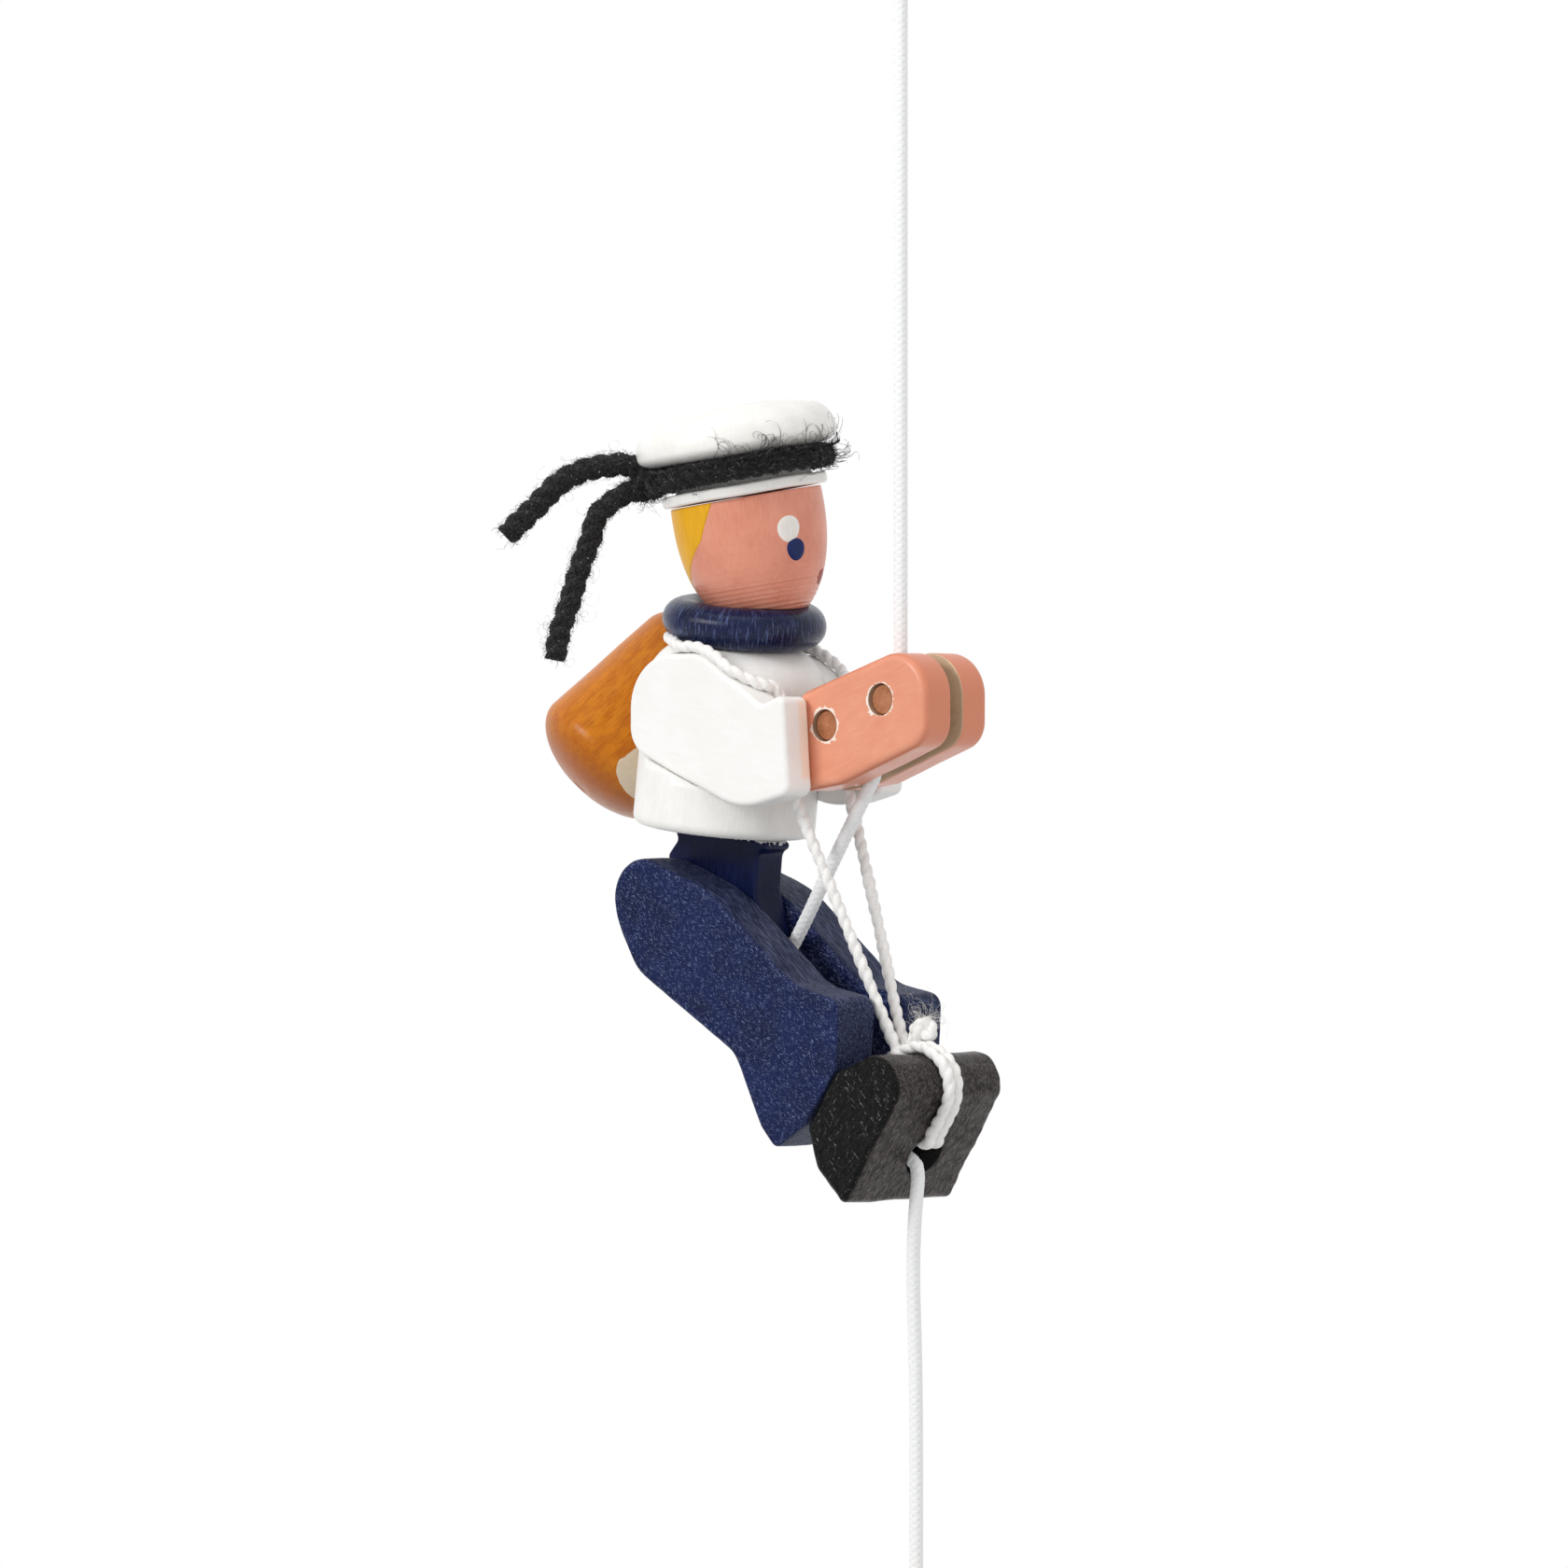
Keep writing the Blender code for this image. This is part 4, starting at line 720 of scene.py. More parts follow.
# Cap: rim, groove for the yarn and a broad soft crown
cap = {"rim": 12.7, "rimLow": 0.3, "rimTop": 2.05, "groove": 10.4, "crown": 15.5, "crownLow": 6.45, "crownTop": 14.05,
       "flat": 0.79, "bow": 0.155, "bowPower": 2.6, "round": 0.5, "waist": 0.24, "dome": 0.62, "lip": 0.5}
crownTall = cap["crownTop"] - cap["crownLow"]
crownRound, crownWaist = cap["round"] * crownTall, cap["waist"] * crownTall
crownSide = (cap["crown"] - crownRound, cap["crownLow"] + crownWaist, crownRound)
topBow = np.linspace(0, 1, 24)
capProfile = np.concatenate([
    joined(topBow * cap["flat"] * cap["crown"], cap["crownTop"] - cap["bow"] * crownTall * topBow ** cap["bowPower"]),
    arc(*crownSide, 76, 0, 26, cap["dome"] * crownTall),
    arc(*crownSide, -6, -90, 16, crownWaist),
    [(cap["groove"] + 0.3, cap["crownLow"]), (cap["groove"], cap["crownLow"] - 0.3),
     (cap["groove"], cap["rimTop"] + 0.3), (cap["groove"] + 0.3, cap["rimTop"])],
    arc(cap["rim"] - cap["lip"], cap["rimTop"] - cap["lip"], cap["lip"], 90, 0, 8),
    arc(cap["rim"] - cap["lip"], cap["rimLow"] + cap["lip"], cap["lip"], 0, -90, 8),
    [(0.0, cap["rimLow"])]])
capGrid = turnedGrid(capProfile, headTurn, head["top"], 192)
capGrid += uneven(capGrid, 13.0, 0.12)[..., None] * np.array([0.3, 0.3, 0.9]) @ headTurn.T
dressed("sailorCap", capGrid, paintedWood("capPaint", capLook)[0], "figure", "cap")
print("stage: cap made")

# Hip block, legs and their dowels
hip = {
    "depths": (-3.0, 3.0), "edges": (0.45, 0.45), "pin": (-31.2, -159.7), "hole": 2.58,
    "corners": [
        (-44.1, -146.24, 0.7), (-22.5, -148.89, 0.7), (-26.5, -150.1, 1.5), (-27.1, -156.2, 4.0), (-24.7, -163.7, 2.5),
        (-31.2, -167.5, 5.0), (-39.2, -165.2, 5.0), (-44.8, -157.7, 5.0), (-45.2, -150.7, 1.0), (-43.2, -148.4, 0.8)]}
legs = {
    "depths": (3.3, 12.0), "edges": (0.65, 0.65), "hipDowel": 2.5, "cordPin": (-26.1, -175.4), "cordDowel": 1.75,
    "sunk": 0.35, "bareTo": (8.0, 7.0), "bare": ((140, 84, 52), (205, 140, 98)),
    "corners": [
        (-50.9, -147.6, 6.0), (-28.2, -156.05, 25.0), (-10.9, -169.9, 8.0), (-2.0, -171.7, 2.4), (-2.6, -182.1, 0.9),
        (-8.6, -190.7, 0.9), (-14.8, -194.5, 1.2), (-17.7, -191.3, 3.0), (-23.2, -180.3, 6.0), (-43.4, -168.4, 8.0),
        (-47.5, -160.9, 14.0)]}


# Hip paint: navy, with a ragged edge of the torso's white run down over its top
def hipFinish():
    finish, colour = paintedWood("hipPaint", hipLook)
    height = heightAlong(torso["centre"] - torso["below"] * torsoTurn[:, 2], torsoTurn[:, 2])
    lead(mixed(easedLength(plus(height, ragged(0.9, 2.6)), -0.62, -0.5), colour, hipLook["white"]))
    return finish


# Leg paint: light dashes lie crossed on the broad faces, and the narrow sides show lighter grain along the leg, as
# painted light
def legFinish():
    finish, colour = paintedWood("legPaint", legLook)
    dashes = [eased(grain(0.12, 9.0, (0, turn, 0), 3.0), 0.59, 0.67) for turn in legLook["dashTurns"]]
    faces = mixed(times(larger(*dashes), legLook["dashShare"]), colour, legLook["dash"])
    # painted light: the narrow sides take a lighter grained tone than the broad faces
    narrow = mixed(eased(grain(0.26, 8.0, legLook["turn"], 5.0), 0.42, 0.7), *legLook["narrow"])
    lead(mixed(onFaces(*legs["depths"]), narrow, faces))
    return finish


# Leg dowels are bare between the legs and painted over at both ends
def legDowelFinish():
    finish, colour = paintedWood("legDowelPaint", legLook)
    wood = mixed(grain(0.2, 6.0, acrossGrain), *legs["bare"])
    lead(mixed(easedLength(depthAcross(), *legs["bareTo"]), colour, wood))
    return finish


hipGrid = boardGrid(roundedOutline(hip["corners"]), *hip["depths"], *hip["edges"])
dressed("hipBlock", hipGrid, hipFinish(), "figure", "hip_block", cutters=[crossRod(hip["pin"], cutReach, hip["hole"])])
boardPair("leg", roundedOutline(legs["corners"]), legs, [legFinish()] * 2, "legs", 0.09, 0.03)
legDowelPaint = legDowelFinish()
legReach = legs["depths"][1] - legs["sunk"]
for name, where, radius, node in (("hipDowel", hip["pin"], legs["hipDowel"], "hip_pin"),
                                  ("cordDowel", legs["cordPin"], legs["cordDowel"], "cord_pin")):
    dressed(name, crossRod(where, legReach, radius, 0.25), legDowelPaint, "legs", node)

# Foot block: one rough bar across both hems, with the cord's hole through it
foot = {
    "depths": (-12.0, 12.0), "edges": (0.95, 0.95), "reach": 25, "exit": np.array([3.55, 0.9, -194.93]),
    "way": np.array([0.8402, 0.0, -0.5422]), "hole": 3.5,
    "corners": [
        (-2.35, -182.27, 1.0), (9.2, -178.3, 4.6), (10.1, -185.7, 2.0), (-1.0, -202.9, 1.3), (-6.4, -197.0, 2.0),
        (-8.35, -190.87, 1.0)]}


# Foot paint: brownish black, lighter on the narrow faces as a painted reflection and blacker on its two ends, with
# slanting bright painted glints there, and a painted black shadow in the hole
def footFinish():
    finish, colour = paintedWood("footPaint", footLook)
    ends = mixed(eased(grain(0.5, 3.0, footLook["turn"], 5.0), 0.42, 0.66), *footLook["face"])
    # painted highlights: slanting bright glints on the two ends
    for turn, share in footLook["glints"]:
        ends = mixed(eased(grain(0.22, 6.0, (0, turn, 0), 4.0), 0.635, 0.73, high=share), ends, footLook["glint"])
    # painted reflection: the narrow faces keep the lighter brownish grey, and the ends go near black
    colour = mixed(onFaces(noInnerFace, foot["depths"][1]), colour, ends)
    # painted shadow: black inside the cord's hole
    inside = easedLength(fromAxis(foot["exit"], foot["way"]), foot["hole"] + 0.25, foot["hole"])
    lead(mixed(inside, colour, footLook["inside"]))
    return finish


footSpan = foot["reach"] * foot["way"]
footHole = rodGrid(foot["exit"] - footSpan, foot["exit"] + footSpan, foot["hole"], cutEdge)
footGrid = boardGrid(roundedOutline(foot["corners"]), *foot["depths"], *foot["edges"], 0.2, 0.09)
dressed("footBlock", footGrid, footFinish(), "legs", "foot_block", cutters=[footHole])
print("stage: hip, legs and foot made")

# Kit bag: a turned drum with a lathe dimple below, flattened where it is worn and where it meets the torso
bag = {
    "end": np.array([-64.8, -2.4, -140.7]), "way": (0.438, 0.537, 0.721), "radius": 12.0, "top": 10.4, "length": 33.0,
    "dome": 6.7, "dimple": (1.3, 0.8), "flatAt": np.array([-51.024, -1.015, -137.618]),
    "flatWay": np.array([0.897, -0.3145, -0.3107])}
bagWall = [np.linspace(*ends, 16)[1:-1] for ends in ((bag["top"], bag["radius"]),
                                                     (bag["length"] - bag["dome"], bag["dome"]))]
bagProfile = np.concatenate([
    arc(0.0, bag["length"] - bag["dome"], bag["top"], 90, 0, 40, bag["dome"]), joined(*bagWall),
    arc(0.0, bag["dome"], bag["radius"], 0, -90, 60, bag["dome"])])
dimpleWide, dimpleDeep = bag["dimple"]
bagProfile[:, 1] += dimpleDeep * np.exp(-(bagProfile[:, 0] / dimpleWide) ** 2) * (bagProfile[:, 1] < bag["dome"])
bagProfile[[0, -1], 0] = 0.0
bagGrid = turnedGrid(bagProfile, turnTo(bag["way"]), bag["end"], 160)
bagGrid += uneven(bagGrid, 11.0, 0.08)[..., None] * (0.6, -0.5, 0.6)
bagGrid -= np.maximum(0.0, (bagGrid - bag["flatAt"]) @ bag["flatWay"])[..., None] * bag["flatWay"]
inTorso = (bagGrid - torso["centre"]) @ torsoTurn
torsoReach = np.maximum(np.linalg.norm(inTorso[..., :2], axis=-1), 1e-6)
inTorso[..., :2] *= np.maximum(1.0, (torso["radius"] + 0.06) / torsoReach)[..., None]
bagGrid = inTorso @ torsoTurn.T + torso["centre"]
# The varnish's hollow tone is painted shade round the axis at the ends
varnishLook = {
    "dark": (192, 106, 12), "colour": (210, 126, 20), "streak": (158, 80, 8), "ends": (152, 74, 20),
    "hollow": (112, 52, 14), "bare": ((226, 206, 178), (244, 230, 208))}


# Amber varnish: mottled and thicker towards the ends, drawn in streaks round the drum, darker round the axis at both
# ends as painted shade for the lathe dimple, bare on the worn flat
def varnish():
    finish = newFinish("amberVarnish", {"Specular IOR Level": 0.17, "Coat Weight": 0.06,
                                                         "Coat Roughness": 0.2})
    way = bag["way"]
    turn = (math.degrees(math.acos(way[2])), 0, math.degrees(math.atan2(way[0], -way[1])))
    mottle = grain(1.5, 2.0, turn, 6.0)
    fine = grain(0.3, 9.0, turn, 5.0)
    height = heightAlong(bag["end"], way)
    ends = larger(easedLength(height, 7.0, 0.5, 0.7), easedLength(height, 24, 33, 0.7))
    colour = mixed(eased(mottle, 0.32, 0.66), varnishLook["dark"], varnishLook["colour"])
    colour = mixed(eased(fine, 0.48, 0.7, high=0.6), colour, varnishLook["streak"])
    colour = mixed(ends, colour, varnishLook["ends"])
    # painted shade: darker round the axis at both ends, for the lower end's lathe dimple
    colour = mixed(easedLength(fromAxis(bag["end"], way), 1.7, 0.3, 0.8), colour, varnishLook["hollow"])
    worn = easedLength(plus(heightAlong(bag["flatAt"], bag["flatWay"]), ragged(0.8, 0.12, 6.0)), -0.07, -0.03)
    lead(mixed(worn, colour, mixed(grain(0.3, 5.0, turn), *varnishLook["bare"])))
    lead(eased(plus(mottle, worn), 0.2, 1.6, 0.26, 0.75), "Roughness")
    bumped(fine, 0.035, bumped(mottle, 0.09))
    return finish


dressed("kitBag", bagGrid, varnish(), "figure", "bag")
dressed("bagPeg", rodGrid((-52.36, 5.29, -128.44), (-42.68, 2.51, -128.44), 1.5), dowelWood, "figure", "bag_peg")
print("stage: kit bag made")


# Cord finish: soft white yarns, greyer in the hollows of the lay as painted shade, on the cord's own UV map
def cordFinish(name, step, part, colour, dark, tint, relief, sheen=0.15):
    finish = newFinish(name, {"Specular IOR Level": 0.15, "Sheen Weight": sheen, "Sheen Roughness": 0.5,
                                            "Roughness": 0.85})
    thread = runNoise(step, part)
    # painted shade: greyer where the lay's relief is low
    tone = mixed(eased(thread, 0.3, 0.7), dark, colour)
    lead(mixed(eased(grain(6.0), 0.4, 0.8, high=0.5), tone, tint))
    bumped(thread, relief)
    return finish


cordWhite = cordFinish("cordWhite", 0.5, 0.04, (254, 254, 254), (244, 245, 246), (250, 250, 249), 0.05)
elasticWhite = cordFinish("elasticWhite", 0.35, 0.08, (254, 253, 251), (242, 240, 237), (249, 246, 243), 0.06)

# Braided cord: the radius rises wherever a strand of either hand crosses, four strands each way
braid = {"radius": 1.05, "strands": 4, "pitch": 4.2, "relief": 0.08, "step": 0.14, "around": 40}


def braidGrid(stops):
    route = smoothRoute(stops, braid["step"])
    along = runAlong(route)[:, None] * 2 * np.pi / braid["pitch"]
    rightHand, leftHand = (np.cos(braid["strands"] * (allRound(braid["around"]) + hand * along) / 2) ** 2
                           for hand in (1, -1))
    over = np.maximum(rightHand, leftHand)
    return tubeGrid(route, braid["radius"] * (1 - braid["relief"] * (1 - over))), route


# Twisted string: two plies give each ring two lobes, and the lobes turn along the string
twine = {"radius": 0.93, "pitch": 4.2, "hollow": 0.27, "step": 0.13, "around": 22}


def twineGrid(stops, radius=twine["radius"]):
    route = smoothRoute(stops, twine["step"])
    along = runAlong(route)[:, None] * 2 * np.pi / twine["pitch"]
    lobe = np.abs(np.cos(allRound(twine["around"])[None] - along))
    swell = 1 + 0.05 * np.sin(along * 0.37 + 0.6) + 0.03 * np.sin(along * 0.83)
    return tubeGrid(route, radius * swell * (1 - twine["hollow"] * (1 - lobe))), route


# Overhand knot: a trefoil line, x = sin t + 2 sin 2t, y = cos t - 2 cos 2t, z = -sin 3t, sized to its seat
def knotStops(centre, halves, radius, turn=np.eye(3)):
    t = np.linspace(0, 2 * np.pi, 60)
    line = joined((np.sin(t) + 2 * np.sin(2 * t)) / 3, (np.cos(t) - 2 * np.cos(2 * t)) / 3, -np.sin(3 * t))
    return (line * np.maximum(np.subtract(halves, radius), 0.35)) @ turn.T + centre


# A swept grid becomes a piece, and its route is kept
def swept(name, node, made, finish, body=None):
    grid, route = made
    return dressed(name, grid, finish, body, node), route


# Climbing cord, from its loop to the end knot, in stretches that follow the joints
def cordPiece(name, node, stops, body=None):
    return swept(name, node, braidGrid(stops), cordWhite, body)


loopShare = np.linspace(0, 1, 25)
loopRise = (1 - np.cos(2 * np.pi * loopShare)) / 2
loopStops = joined(
    -1.35 * np.cos(np.pi * loopShare) - 4.6 * np.sin(2 * np.pi * loopShare) * loopRise ** 0.5, 0,
    -14.0 + 15.05 * loopRise)
hangLoop, _ = cordPiece("hangLoop", "hang_loop", [(-0.6, 0, -16.6), *loopStops, (0.6, 0, -16.6)], "line")
loopKnot, _ = cordPiece("loopKnot", "loop_knot", knotStops((0, 0, -17.1), (2.75, 2.75, 2.75), 1.05), "line")
cordUpper, upperRoute = cordPiece("cordUpper", "cord_upper", [(0, 0, -17.5), (0, 0, -50), (0, 0, -85), (0, 0, -120.3)])
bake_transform(cordUpper)
cordInHands, _ = cordPiece("cordInHands", "cord_in_hands", [
    (0, 0, -119.9), (-1.35, 0, -126.9), (-2.9, 0, -132.5), (-5.4, 0, -138.8), (-5.6, 0, -139.3)])
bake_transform(cordInHands)
cordMiddle, middleRoute = cordPiece("cordHandsToKnee", "cord_hands_to_knee", [
    (-5.3, 0, -138.6), (-13.8, 0, -151.7), (-20.9, 0, -162.9), (-28.6, 0, -173.5)])
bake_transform(cordMiddle)
cordPiece("cordKneeToFoot", "cord_knee_to_foot", [
    (-28.5, 0, -173.4), (-29.01, 0, -174.34), (-29.2, 0, -175.29), (-29.01, 0, -176.46), (-28.47, 0, -177.39),
    (-27.7, 0, -178.06), (-7.95, -0.98, -188.77), (-2.07, -0.98, -192.57), (3.4, -0.98, -196.1)], "legs")
cordLower, lowerRoute = cordPiece("cordLower", "cord_lower", [
    (2.8, -0.98, -195.72), (3.61, -0.98, -196.23), (4.21, -1.08, -196.93), (4.61, -1.28, -198.63),
    (4.41, -1.38, -201.43), (3.81, -1.18, -206.23), (3.1, -0.59, -214.23), (3.1, 0, -234.23), (3.1, 0, -276.0)])
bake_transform(cordLower)
bead = {"radius": 7.0, "bore": 1.35, "centre": (3.1, 0.0, -267.5)}
beadEdge = math.degrees(math.acos(bead["bore"] / bead["radius"]))
beadProfile = np.concatenate(
    [arc(0.0, 0.0, bead["radius"], beadEdge, -beadEdge, 60), joined(bead["bore"], np.linspace(-6.6, 6.6, 8))])
beadProfile = np.concatenate([beadProfile, beadProfile[:1]])
pullBead = dressed(
    "pullBead", turnedGrid(beadProfile, np.eye(3), bead["centre"], 96), beadWood, "line", "pull_bead",
    caps=(False, False))
endKnot, _ = cordPiece("endKnot", "end_knot", knotStops((3.1, 0, -277.7), (2.6, 2.6, 2.6), 1.0), "line")
print("stage: climbing cord made")

# Elastic string: behind the neck and over each elbow, a strand down each side, two turns round the toe
neckHalf = np.array([
    (-40.7, 7.3, -117.3), (-37.0, 10.5, -117.9), (-33.5, 12.55, -118.83), (-30.0, 12.55, -119.01),
    (-26.5, 12.55, -120.35), (-23.3, 12.55, -122.38), (-20.9, 10.75, -123.91), (-19.6, 8.95, -124.73),
    (-19.0, 7.25, -125.11), (-18.5, 6.33, -127.0), (-18.1, 6.33, -130.0), (-16.9, 6.13, -136.0),
    (-15.6, 6.03, -142.0), (-14.0, 5.73, -146.0)])
neckStops = np.concatenate([neckHalf[::-1], [(-44.8, 0, -116.9)], neckHalf * (1, -1, 1)])
swept("elasticNeckLoop", "elastic_neck_loop", twineGrid(neckStops), elasticWhite, "figure")

# The winding: two turns of a closed line round the toe and through the hole, stepped sideways turn by turn
windLine = np.array([
    (0.13, -180.27), (2.12, -179.55), (4.13, -178.91), (6.18, -178.92), (8.09, -179.84), (9.79, -181.08),
    (10.82, -182.9), (11.1, -184.98), (10.6, -187.01), (9.42, -188.76), (8.13, -190.43), (6.76, -192.05),
    (6.15, -193.2), (4.4, -193.1), (2.65, -191.94), (0.86, -190.81), (-0.92, -189.68), (-2.69, -188.52),
    (-4.44, -187.33), (-6.2, -186.3), (-6.25, -185.02), (-4.94, -183.38), (-3.81, -181.6), (-1.94, -180.69)])
windTurns = np.linspace(0, 2, 2 * len(windLine) + 1)
windX, windZ = windLine[np.arange(len(windTurns)) % len(windLine)].T
windSide = 1.9 * (windTurns - 1) + 0.35 - 0.65 * np.cos(2 * np.pi * (windTurns - 0.25))
swept("elasticWinding", "elastic_wrap", twineGrid(joined(windX, windSide, windZ)), elasticWhite, "legs")
toeKnot = {"centre": np.array([2.9, 1.7, -176.7]), "lean": -19.0, "halves": (2.5, 2.2, 1.9), "radius": 0.95}
toeStops = knotStops(toeKnot["centre"], toeKnot["halves"], toeKnot["radius"], turnAbout("Y", toeKnot["lean"]))
swept("elasticKnot", "elastic_knot", twineGrid(toeStops, toeKnot["radius"]), elasticWhite, "legs")

for side, label, node, last in ((-1, "Right", "elastic_right", [(-0.37, -1.15, -178.43), (0.9, -1.1, -179.7)]),
                                (1, "Left", "elastic_left", [(-0.37, 1.15, -178.43), (1.6, 1.3, -177.3)])):
    before, first = neckHalf[-2:] * (1, side, 1)
    stops = [first + 0.06 * (before - first), first, (first + last[0]) / 2, *last]
    strand, route = swept("elastic" + label, node, twineGrid(stops), elasticWhite)
    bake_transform(strand)
print("stage: elastic string made")

# Wool yarn: three soft plies give each ring three low lobes, roughened by waves of two sizes
wool = {"radius": 1.84, "plies": 3, "pitch": 8.0, "lobe": 0.3, "rough": 0.1, "step": 0.2, "around": 44}


def woolGrid(stops, radius, taper=0.0):
    route = smoothRoute(stops, wool["step"])
    run = runAlong(route)[:, None]
    angle = allRound(wool["around"])[None]
    lobe = 1 - wool["lobe"] * (1 - np.abs(np.cos(wool["plies"] / 2 * (angle - run * 2 * np.pi / wool["pitch"]))))
    tufts = np.sin(9 * angle + 7.3 * run) * np.sin(5.1 * run - 4 * angle) + 0.6 * np.sin(17 * angle - 11.9 * run + 2.0)
    thick = radius * lobe * (1 + wool["rough"] * tufts)
    return tubeGrid(route, thick * (1 - taper * np.clip((run - run[-1] + 1.5) / 1.5, 0, 1) ** 2)), route


# Wool finish: tufts dark and light, with specks of lint
def woolFinish(name, dark, colour, lint):
    finish = newFinish(name, {"Specular IOR Level": 0.12, "Roughness": 0.95, "Sheen Weight": 0.12,
                                            "Sheen Roughness": 0.6})
    tuft = grain(0.35, detail=6.0)
    specks = eased(grain(0.4, detail=2.0), 0.70, 0.73)
    lead(mixed(specks, mixed(eased(tuft, 0.35, 0.75), dark, colour), lint))
    bumped(tuft, 0.35)
    return finish


woolBlack = woolFinish("woolBlack", (10, 10, 12), (70, 70, 73), (205, 203, 200))
lintWhite = woolFinish("lintWhite", (120, 119, 118), (216, 214, 210), (235, 233, 230))
fuzzBlack = woolFinish("fuzzBlack", (12, 12, 14), (66, 66, 69), (120, 119, 118))
frayWhite = cordFinish("frayWhite", 0.5, 0.3, (252, 250, 246), (238, 234, 228), (244, 238, 230), 0.01, 0.1)

band = {"radius": 12.65, "height": 4.5, "knotAngle": 222.3, "gap": 10.0}
bandTurns = np.radians(band["knotAngle"] + np.linspace(band["gap"], 360 - band["gap"], 120))
bandLocal = joined(band["radius"] * np.cos(bandTurns), band["radius"] * np.sin(bandTurns), band["height"])
_, bandRoute = swept(
    "yarnBand", "yarn_band", woolGrid(bandLocal @ headTurn.T + head["top"], wool["radius"]), woolBlack, "figure")
yarnKnot = {"centre": np.array([-41.352, -11.276, -94.289]), "halves": (3.2, 2.9, 2.4), "radius": 1.35}
knotTurn = headTurn @ turnAbout("Z", band["knotAngle"])
yarnStops = knotStops(yarnKnot["centre"], yarnKnot["halves"], yarnKnot["radius"], knotTurn)
_, yarnKnotRoute = swept("yarnKnot", "yarn_knot", woolGrid(yarnStops, yarnKnot["radius"]), woolBlack, "figure")

# The band's two tails: each has its root in the knot, given in the knot's own axes, and hangs through its stops
tails = [
    {"name": "yarnTailUpper", "node": "yarn_tail_upper", "thick": 1.82,
     "root": [(-1.7, 5.0, 0.0), (-1.1, 2.0, 0.4), (0.6, 0.3, 2.0)],
     "stops": [(-43.41, -13.24, -91.22), (-45.21, -14.91, -91.13), (-48.5, -17.9, -91.9), (-51.4, -20.5, -93.9),
               (-54.2, -23.1, -97.7), (-57.6, -26.0, -102.0)]},
    {"name": "yarnTailLower", "node": "yarn_tail_lower", "thick": 1.7,
     "root": [(-1.7, -5.0, 0.0), (-1.1, -2.0, 0.0), (0.9, -0.3, -0.3)],
     "stops": [(-43.9, -13.61, -95.48), (-45.06, -14.67, -96.35), (-47.1, -16.6, -98.8), (-47.9, -17.3, -102.4),
               (-49.1, -18.5, -107.0), (-50.3, -19.5, -112.3), (-51.3, -20.4, -116.2), (-52.1, -20.9, -120.9)]}]
tailRoutes = []
for tail in tails:
    root = np.array(tail["root"]) @ knotTurn.T + yarnKnot["centre"]
    made = woolGrid(np.concatenate([root, tail["stops"]]), tail["thick"], taper=0.12)
    piece, route = swept(tail["name"], tail["node"], made, woolBlack, "figure")
    tailRoutes.append(route)


# Loose fibres: each starts on the yarn, runs outwards and along it, and curls like a spring that opens;
# those of the band stay outside the cap, by the least distance from its axis at their height
def fibreMesh(name, route, look):
    count, points = look["count"], look["points"]
    each = (count, 1, 1)
    ahead, side, over = routeFrame(route)
    at = dice.integers(0, len(route), count)
    if "bias" in look:
        at = np.clip((len(route) * dice.beta(*look["bias"], count)).astype(int), 0, len(route) - 1)
    angle = dice.uniform(0, 2 * np.pi, count)[:, None]
    ahead, out = ahead[at], side[at] * np.cos(angle) + over[at] * np.sin(angle)
    if "centre" in look:
        out = unit(out * 0.8 + unit(route[at] - look["centre"]))
    cross = np.cross(ahead, out)
    ahead, out, cross = ahead[:, None], out[:, None], cross[:, None]
    t = np.linspace(0, 1, points)[None, :, None]
    length = dice.uniform(*look["length"], each)
    lean = dice.normal(0, look["lean"], each)
    swing = dice.normal(0, look["swing"], each)
    curl = dice.uniform(*look["curl"], each)
    phase = dice.uniform(0, 2 * np.pi, each)
    turns = dice.uniform(*look["turns"], each) * 2 * np.pi
    rise = np.sin(np.pi * t * dice.uniform(0.45, look["fall"], each))
    line = route[at][:, None] + out * (look["start"] + length * 0.62 * rise) + (
        (ahead * lean + cross * swing + wayUp * look.get("lift", 0.0)) * length * t)
    line = line + curl * t * (ahead * np.sin(turns * t + phase) + cross * np.cos(turns * t + phase)
                              + 0.6 * out * np.sin(turns * t * 0.8 + phase))
    if "centre" in look:
        local = (line - head["top"]) @ headTurn
        climb = np.clip((local[..., 2] - 4.8) / 1.4, 0, 1)
        least = 12.0 + (cap["crown"] - 11.9) * climb * climb * (3 - 2 * climb)
        local[..., :2] *= np.maximum(1.0, least / np.linalg.norm(local[..., :2], axis=-1))[..., None]
        line = local @ headTurn.T + head["top"]
    spoke = np.radians([90, 210, 330])[None, None, :, None]
    ring = cross[:, None] * np.cos(spoke) + ahead[:, None] * np.sin(spoke) + out[:, None] * 0.6 * np.cos(spoke + 1.0)
    verts = line[:, :, None] + ring * (look["thick"] * (1 - 0.5 * t))[..., None]
    first = np.arange(count)[:, None] * points * 3
    base = first[..., None] + np.arange(points - 1)[None, :, None] * 3
    k, after = np.arange(3), np.array([1, 2, 0])
    quads = joined(base + k, base + after, base + 3 + after, base + 3 + k).reshape(-1, 4)
    ends = np.concatenate([first + [2, 1, 0], first + (points - 1) * 3 + k])
    mesh = bpy.data.meshes.new(name)
    mesh.from_pydata((verts.reshape(-1, 3) * mm).tolist(), [], quads.tolist() + ends.tolist())
    mesh.uv_layers.new(name="run")
    mesh.polygons.foreach_set("use_smooth", np.ones(len(mesh.polygons), bool))
    mesh.update()
    return mesh


def fibres(name, route, finish, body, look):
    placed(newPiece(name, fibreMesh(name, route, look), finish), finish, body)


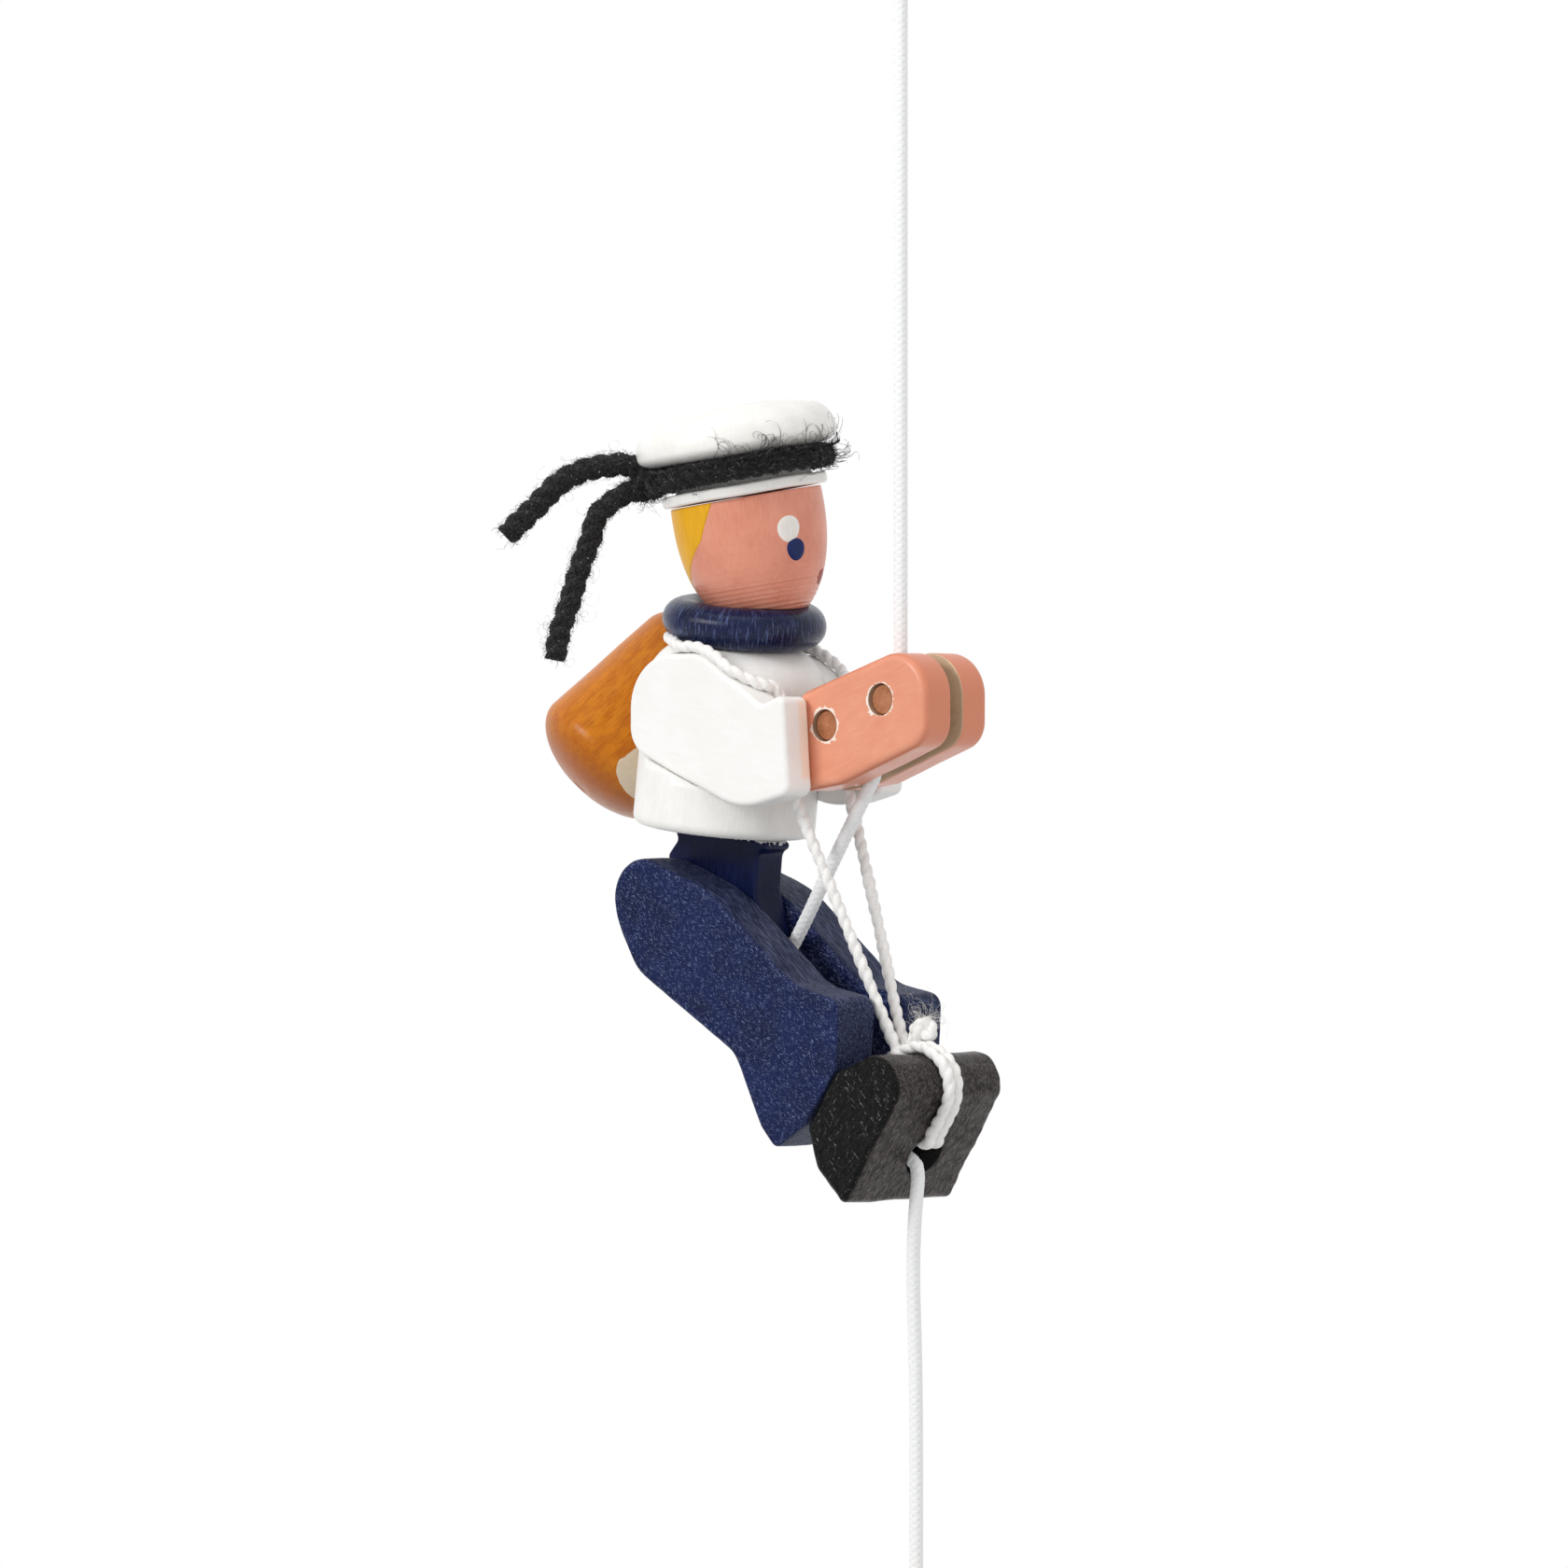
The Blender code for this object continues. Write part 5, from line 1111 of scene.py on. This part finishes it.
fuzzLook = {
    "points": 6, "length": (0.5, 1.7), "lean": 1.0, "swing": 0.5, "curl": (0.1, 0.5), "turns": (0.3, 1.2),
    "fall": 1.0, "start": 1.3, "thick": 0.05}
curlLook = {
    **fuzzLook, "points": 24, "length": (2.0, 5.0), "lean": 0.7, "swing": 0.4, "curl": (0.5, 1.5),
    "turns": (0.8, 2.4)}
onBand = {"centre": head["top"] + band["height"] * headTurn[:, 2]}
tailFuzz = {**fuzzLook, "length": (0.4, 1.4), "thick": 0.035}
tailCurl = {**curlLook, "length": (1.0, 3.0), "thick": 0.022}
for name, route, finish, look in (
        ("yarnBandFuzz", bandRoute, fuzzBlack, {**fuzzLook, **onBand, "count": 2600, "thick": 0.045}),
        ("yarnBandCurls", bandRoute, fuzzBlack,
         {**curlLook, **onBand, "count": 95, "bias": (8, 15), "lift": 0.5, "thick": 0.06}),
        ("yarnBandLint", bandRoute, lintWhite,
         {**fuzzLook, **onBand, "count": 160, "length": (0.3, 0.8), "start": 1.6, "lean": 1.4}),
        ("yarnTailUpperFuzz", tailRoutes[0], fuzzBlack, {**tailFuzz, "count": 900, "start": 1.4}),
        ("yarnTailLowerFuzz", tailRoutes[1], fuzzBlack, {**tailFuzz, "count": 1000}),
        ("yarnTailUpperCurls", tailRoutes[0], fuzzBlack, {**tailCurl, "count": 50}),
        ("yarnTailLowerCurls", tailRoutes[1], fuzzBlack, {**tailCurl, "count": 60}),
        ("yarnKnotFuzz", yarnKnotRoute, fuzzBlack, {**fuzzLook, "count": 1100, "start": 1.0})):
    fibres(name, route, finish, "figure", look)

# The elastic's cut end frays above its knot, with its stub standing out of the knot
stubStops = toeKnot["centre"] + np.array([(0.4, 0.2, 0.3), (0.5, 0.4, 1.1), (0.2, 0.6, 1.9)])
dressed("elasticStub", twineGrid(stubStops, 0.85)[0], elasticWhite, "legs")
frayRoute = smoothRoute([stubStops[1], stubStops[2], stubStops[2] + (-0.1, 0.2, 0.5)], 0.1)
fibres("elasticFray", frayRoute, frayWhite, "legs", {
    "count": 55, "points": 16, "length": (1.4, 3.4), "lean": 0.7, "swing": 0.8, "curl": (0.4, 1.1),
    "turns": (0.9, 2.2), "fall": 0.8, "start": 0.4, "thick": 0.027, "lift": 0.3})
print("stage: wool and fibres made")


# Rays that show a surface to the camera, straight, by reflection or through glass
def seenRays():
    rays = addNode("LightPath").outputs
    return larger(larger(rays["Is Camera Ray"], rays["Is Glossy Ray"]), rays["Is Transmission Ray"])


# Stage: a pale floor, white for the camera, below the hanging toy
floorLook = {"half": 9.0, "height": -2.0, "colour": (0.9, 0.9, 0.9, 1.0), "glow": 0.75}
floorMesh = bpy.data.meshes.new("floor")
floorMesh.from_pydata([(x * floorLook["half"], y * floorLook["half"], floorLook["height"])
                       for x, y in ((-1, -1), (1, -1), (1, 1), (-1, 1))], [], [(0, 1, 2, 3)])
floorFinish = newFinish(
    "paleFloor", {"Base Color": floorLook["colour"], "Roughness": 0.9, "Specular IOR Level": 0.0})
floorGlow = addNode("Emission", {"Color": (1, 1, 1, 1), "Strength": times(seenRays(), floorLook["glow"])}).outputs[0]
floorSum = addNode("AddShader", {0: bench["shader"].outputs[0], 1: floorGlow}).outputs[0]
bench["tree"].links.new(floorSum, bench["tree"].nodes["Material Output"].inputs[0])
newPiece("floor", floorMesh, floorFinish)

world = bpy.data.worlds.new("studio")
bpy.context.scene.world = world
world.use_nodes = True
bench.update(tree=world.node_tree, shader=world.node_tree.nodes["Background"])
bench["shader"].inputs["Color"].default_value = (1, 1, 1, 1)
lead(eased(seenRays(), 0.0, 1.0, 0.61, 1.0), "Strength")

lamps = [
    {"name": "keyLamp", "at": (-0.30, -1.10, 0.42), "size": 0.35, "power": 6.9},
    {"name": "fillLamp", "at": (1.05, 0.10, 0.05), "size": 0.9, "power": 1.9},
    {"name": "topLamp", "at": (0.12, -0.28, 0.95), "size": 0.8, "power": 2.9},
]
aim = np.array([-0.025, 0.0, -0.14])
for lamp in lamps:
    light = bpy.data.lights.new(lamp["name"], "AREA")
    light.energy, light.size = lamp["power"], lamp["size"]
    holder = newObject(lamp["name"], light)
    spot = np.eye(4)
    spot[:3, :3] = turnTo(np.array(lamp["at"]) - aim)
    spot[:3, 3] = lamp["at"]
    holder.matrix_world = Matrix(spot.tolist())
    holder.visible_camera = False

# Camera: the photograph's own view, long lens, level and 42.5 degrees round to the toy's front
view = {"at": (0.74386, -0.83768, -0.12787), "tilt": 89.4, "round": 42.5, "lens": 171.43, "sensor": 36.0}
lens = bpy.data.cameras.new("camera")
lens.lens, lens.sensor_width = view["lens"], view["sensor"]
lens.clip_start, lens.clip_end = 0.05, 60.0
camera = newObject("camera", lens)
camera.location = view["at"]
camera.rotation_euler = (math.radians(view["tilt"]), 0.0, math.radians(view["round"]))
bpy.context.scene.camera = camera
bpy.context.scene.view_settings.view_transform = "Standard"
print("stage: floor, lamps and camera set")
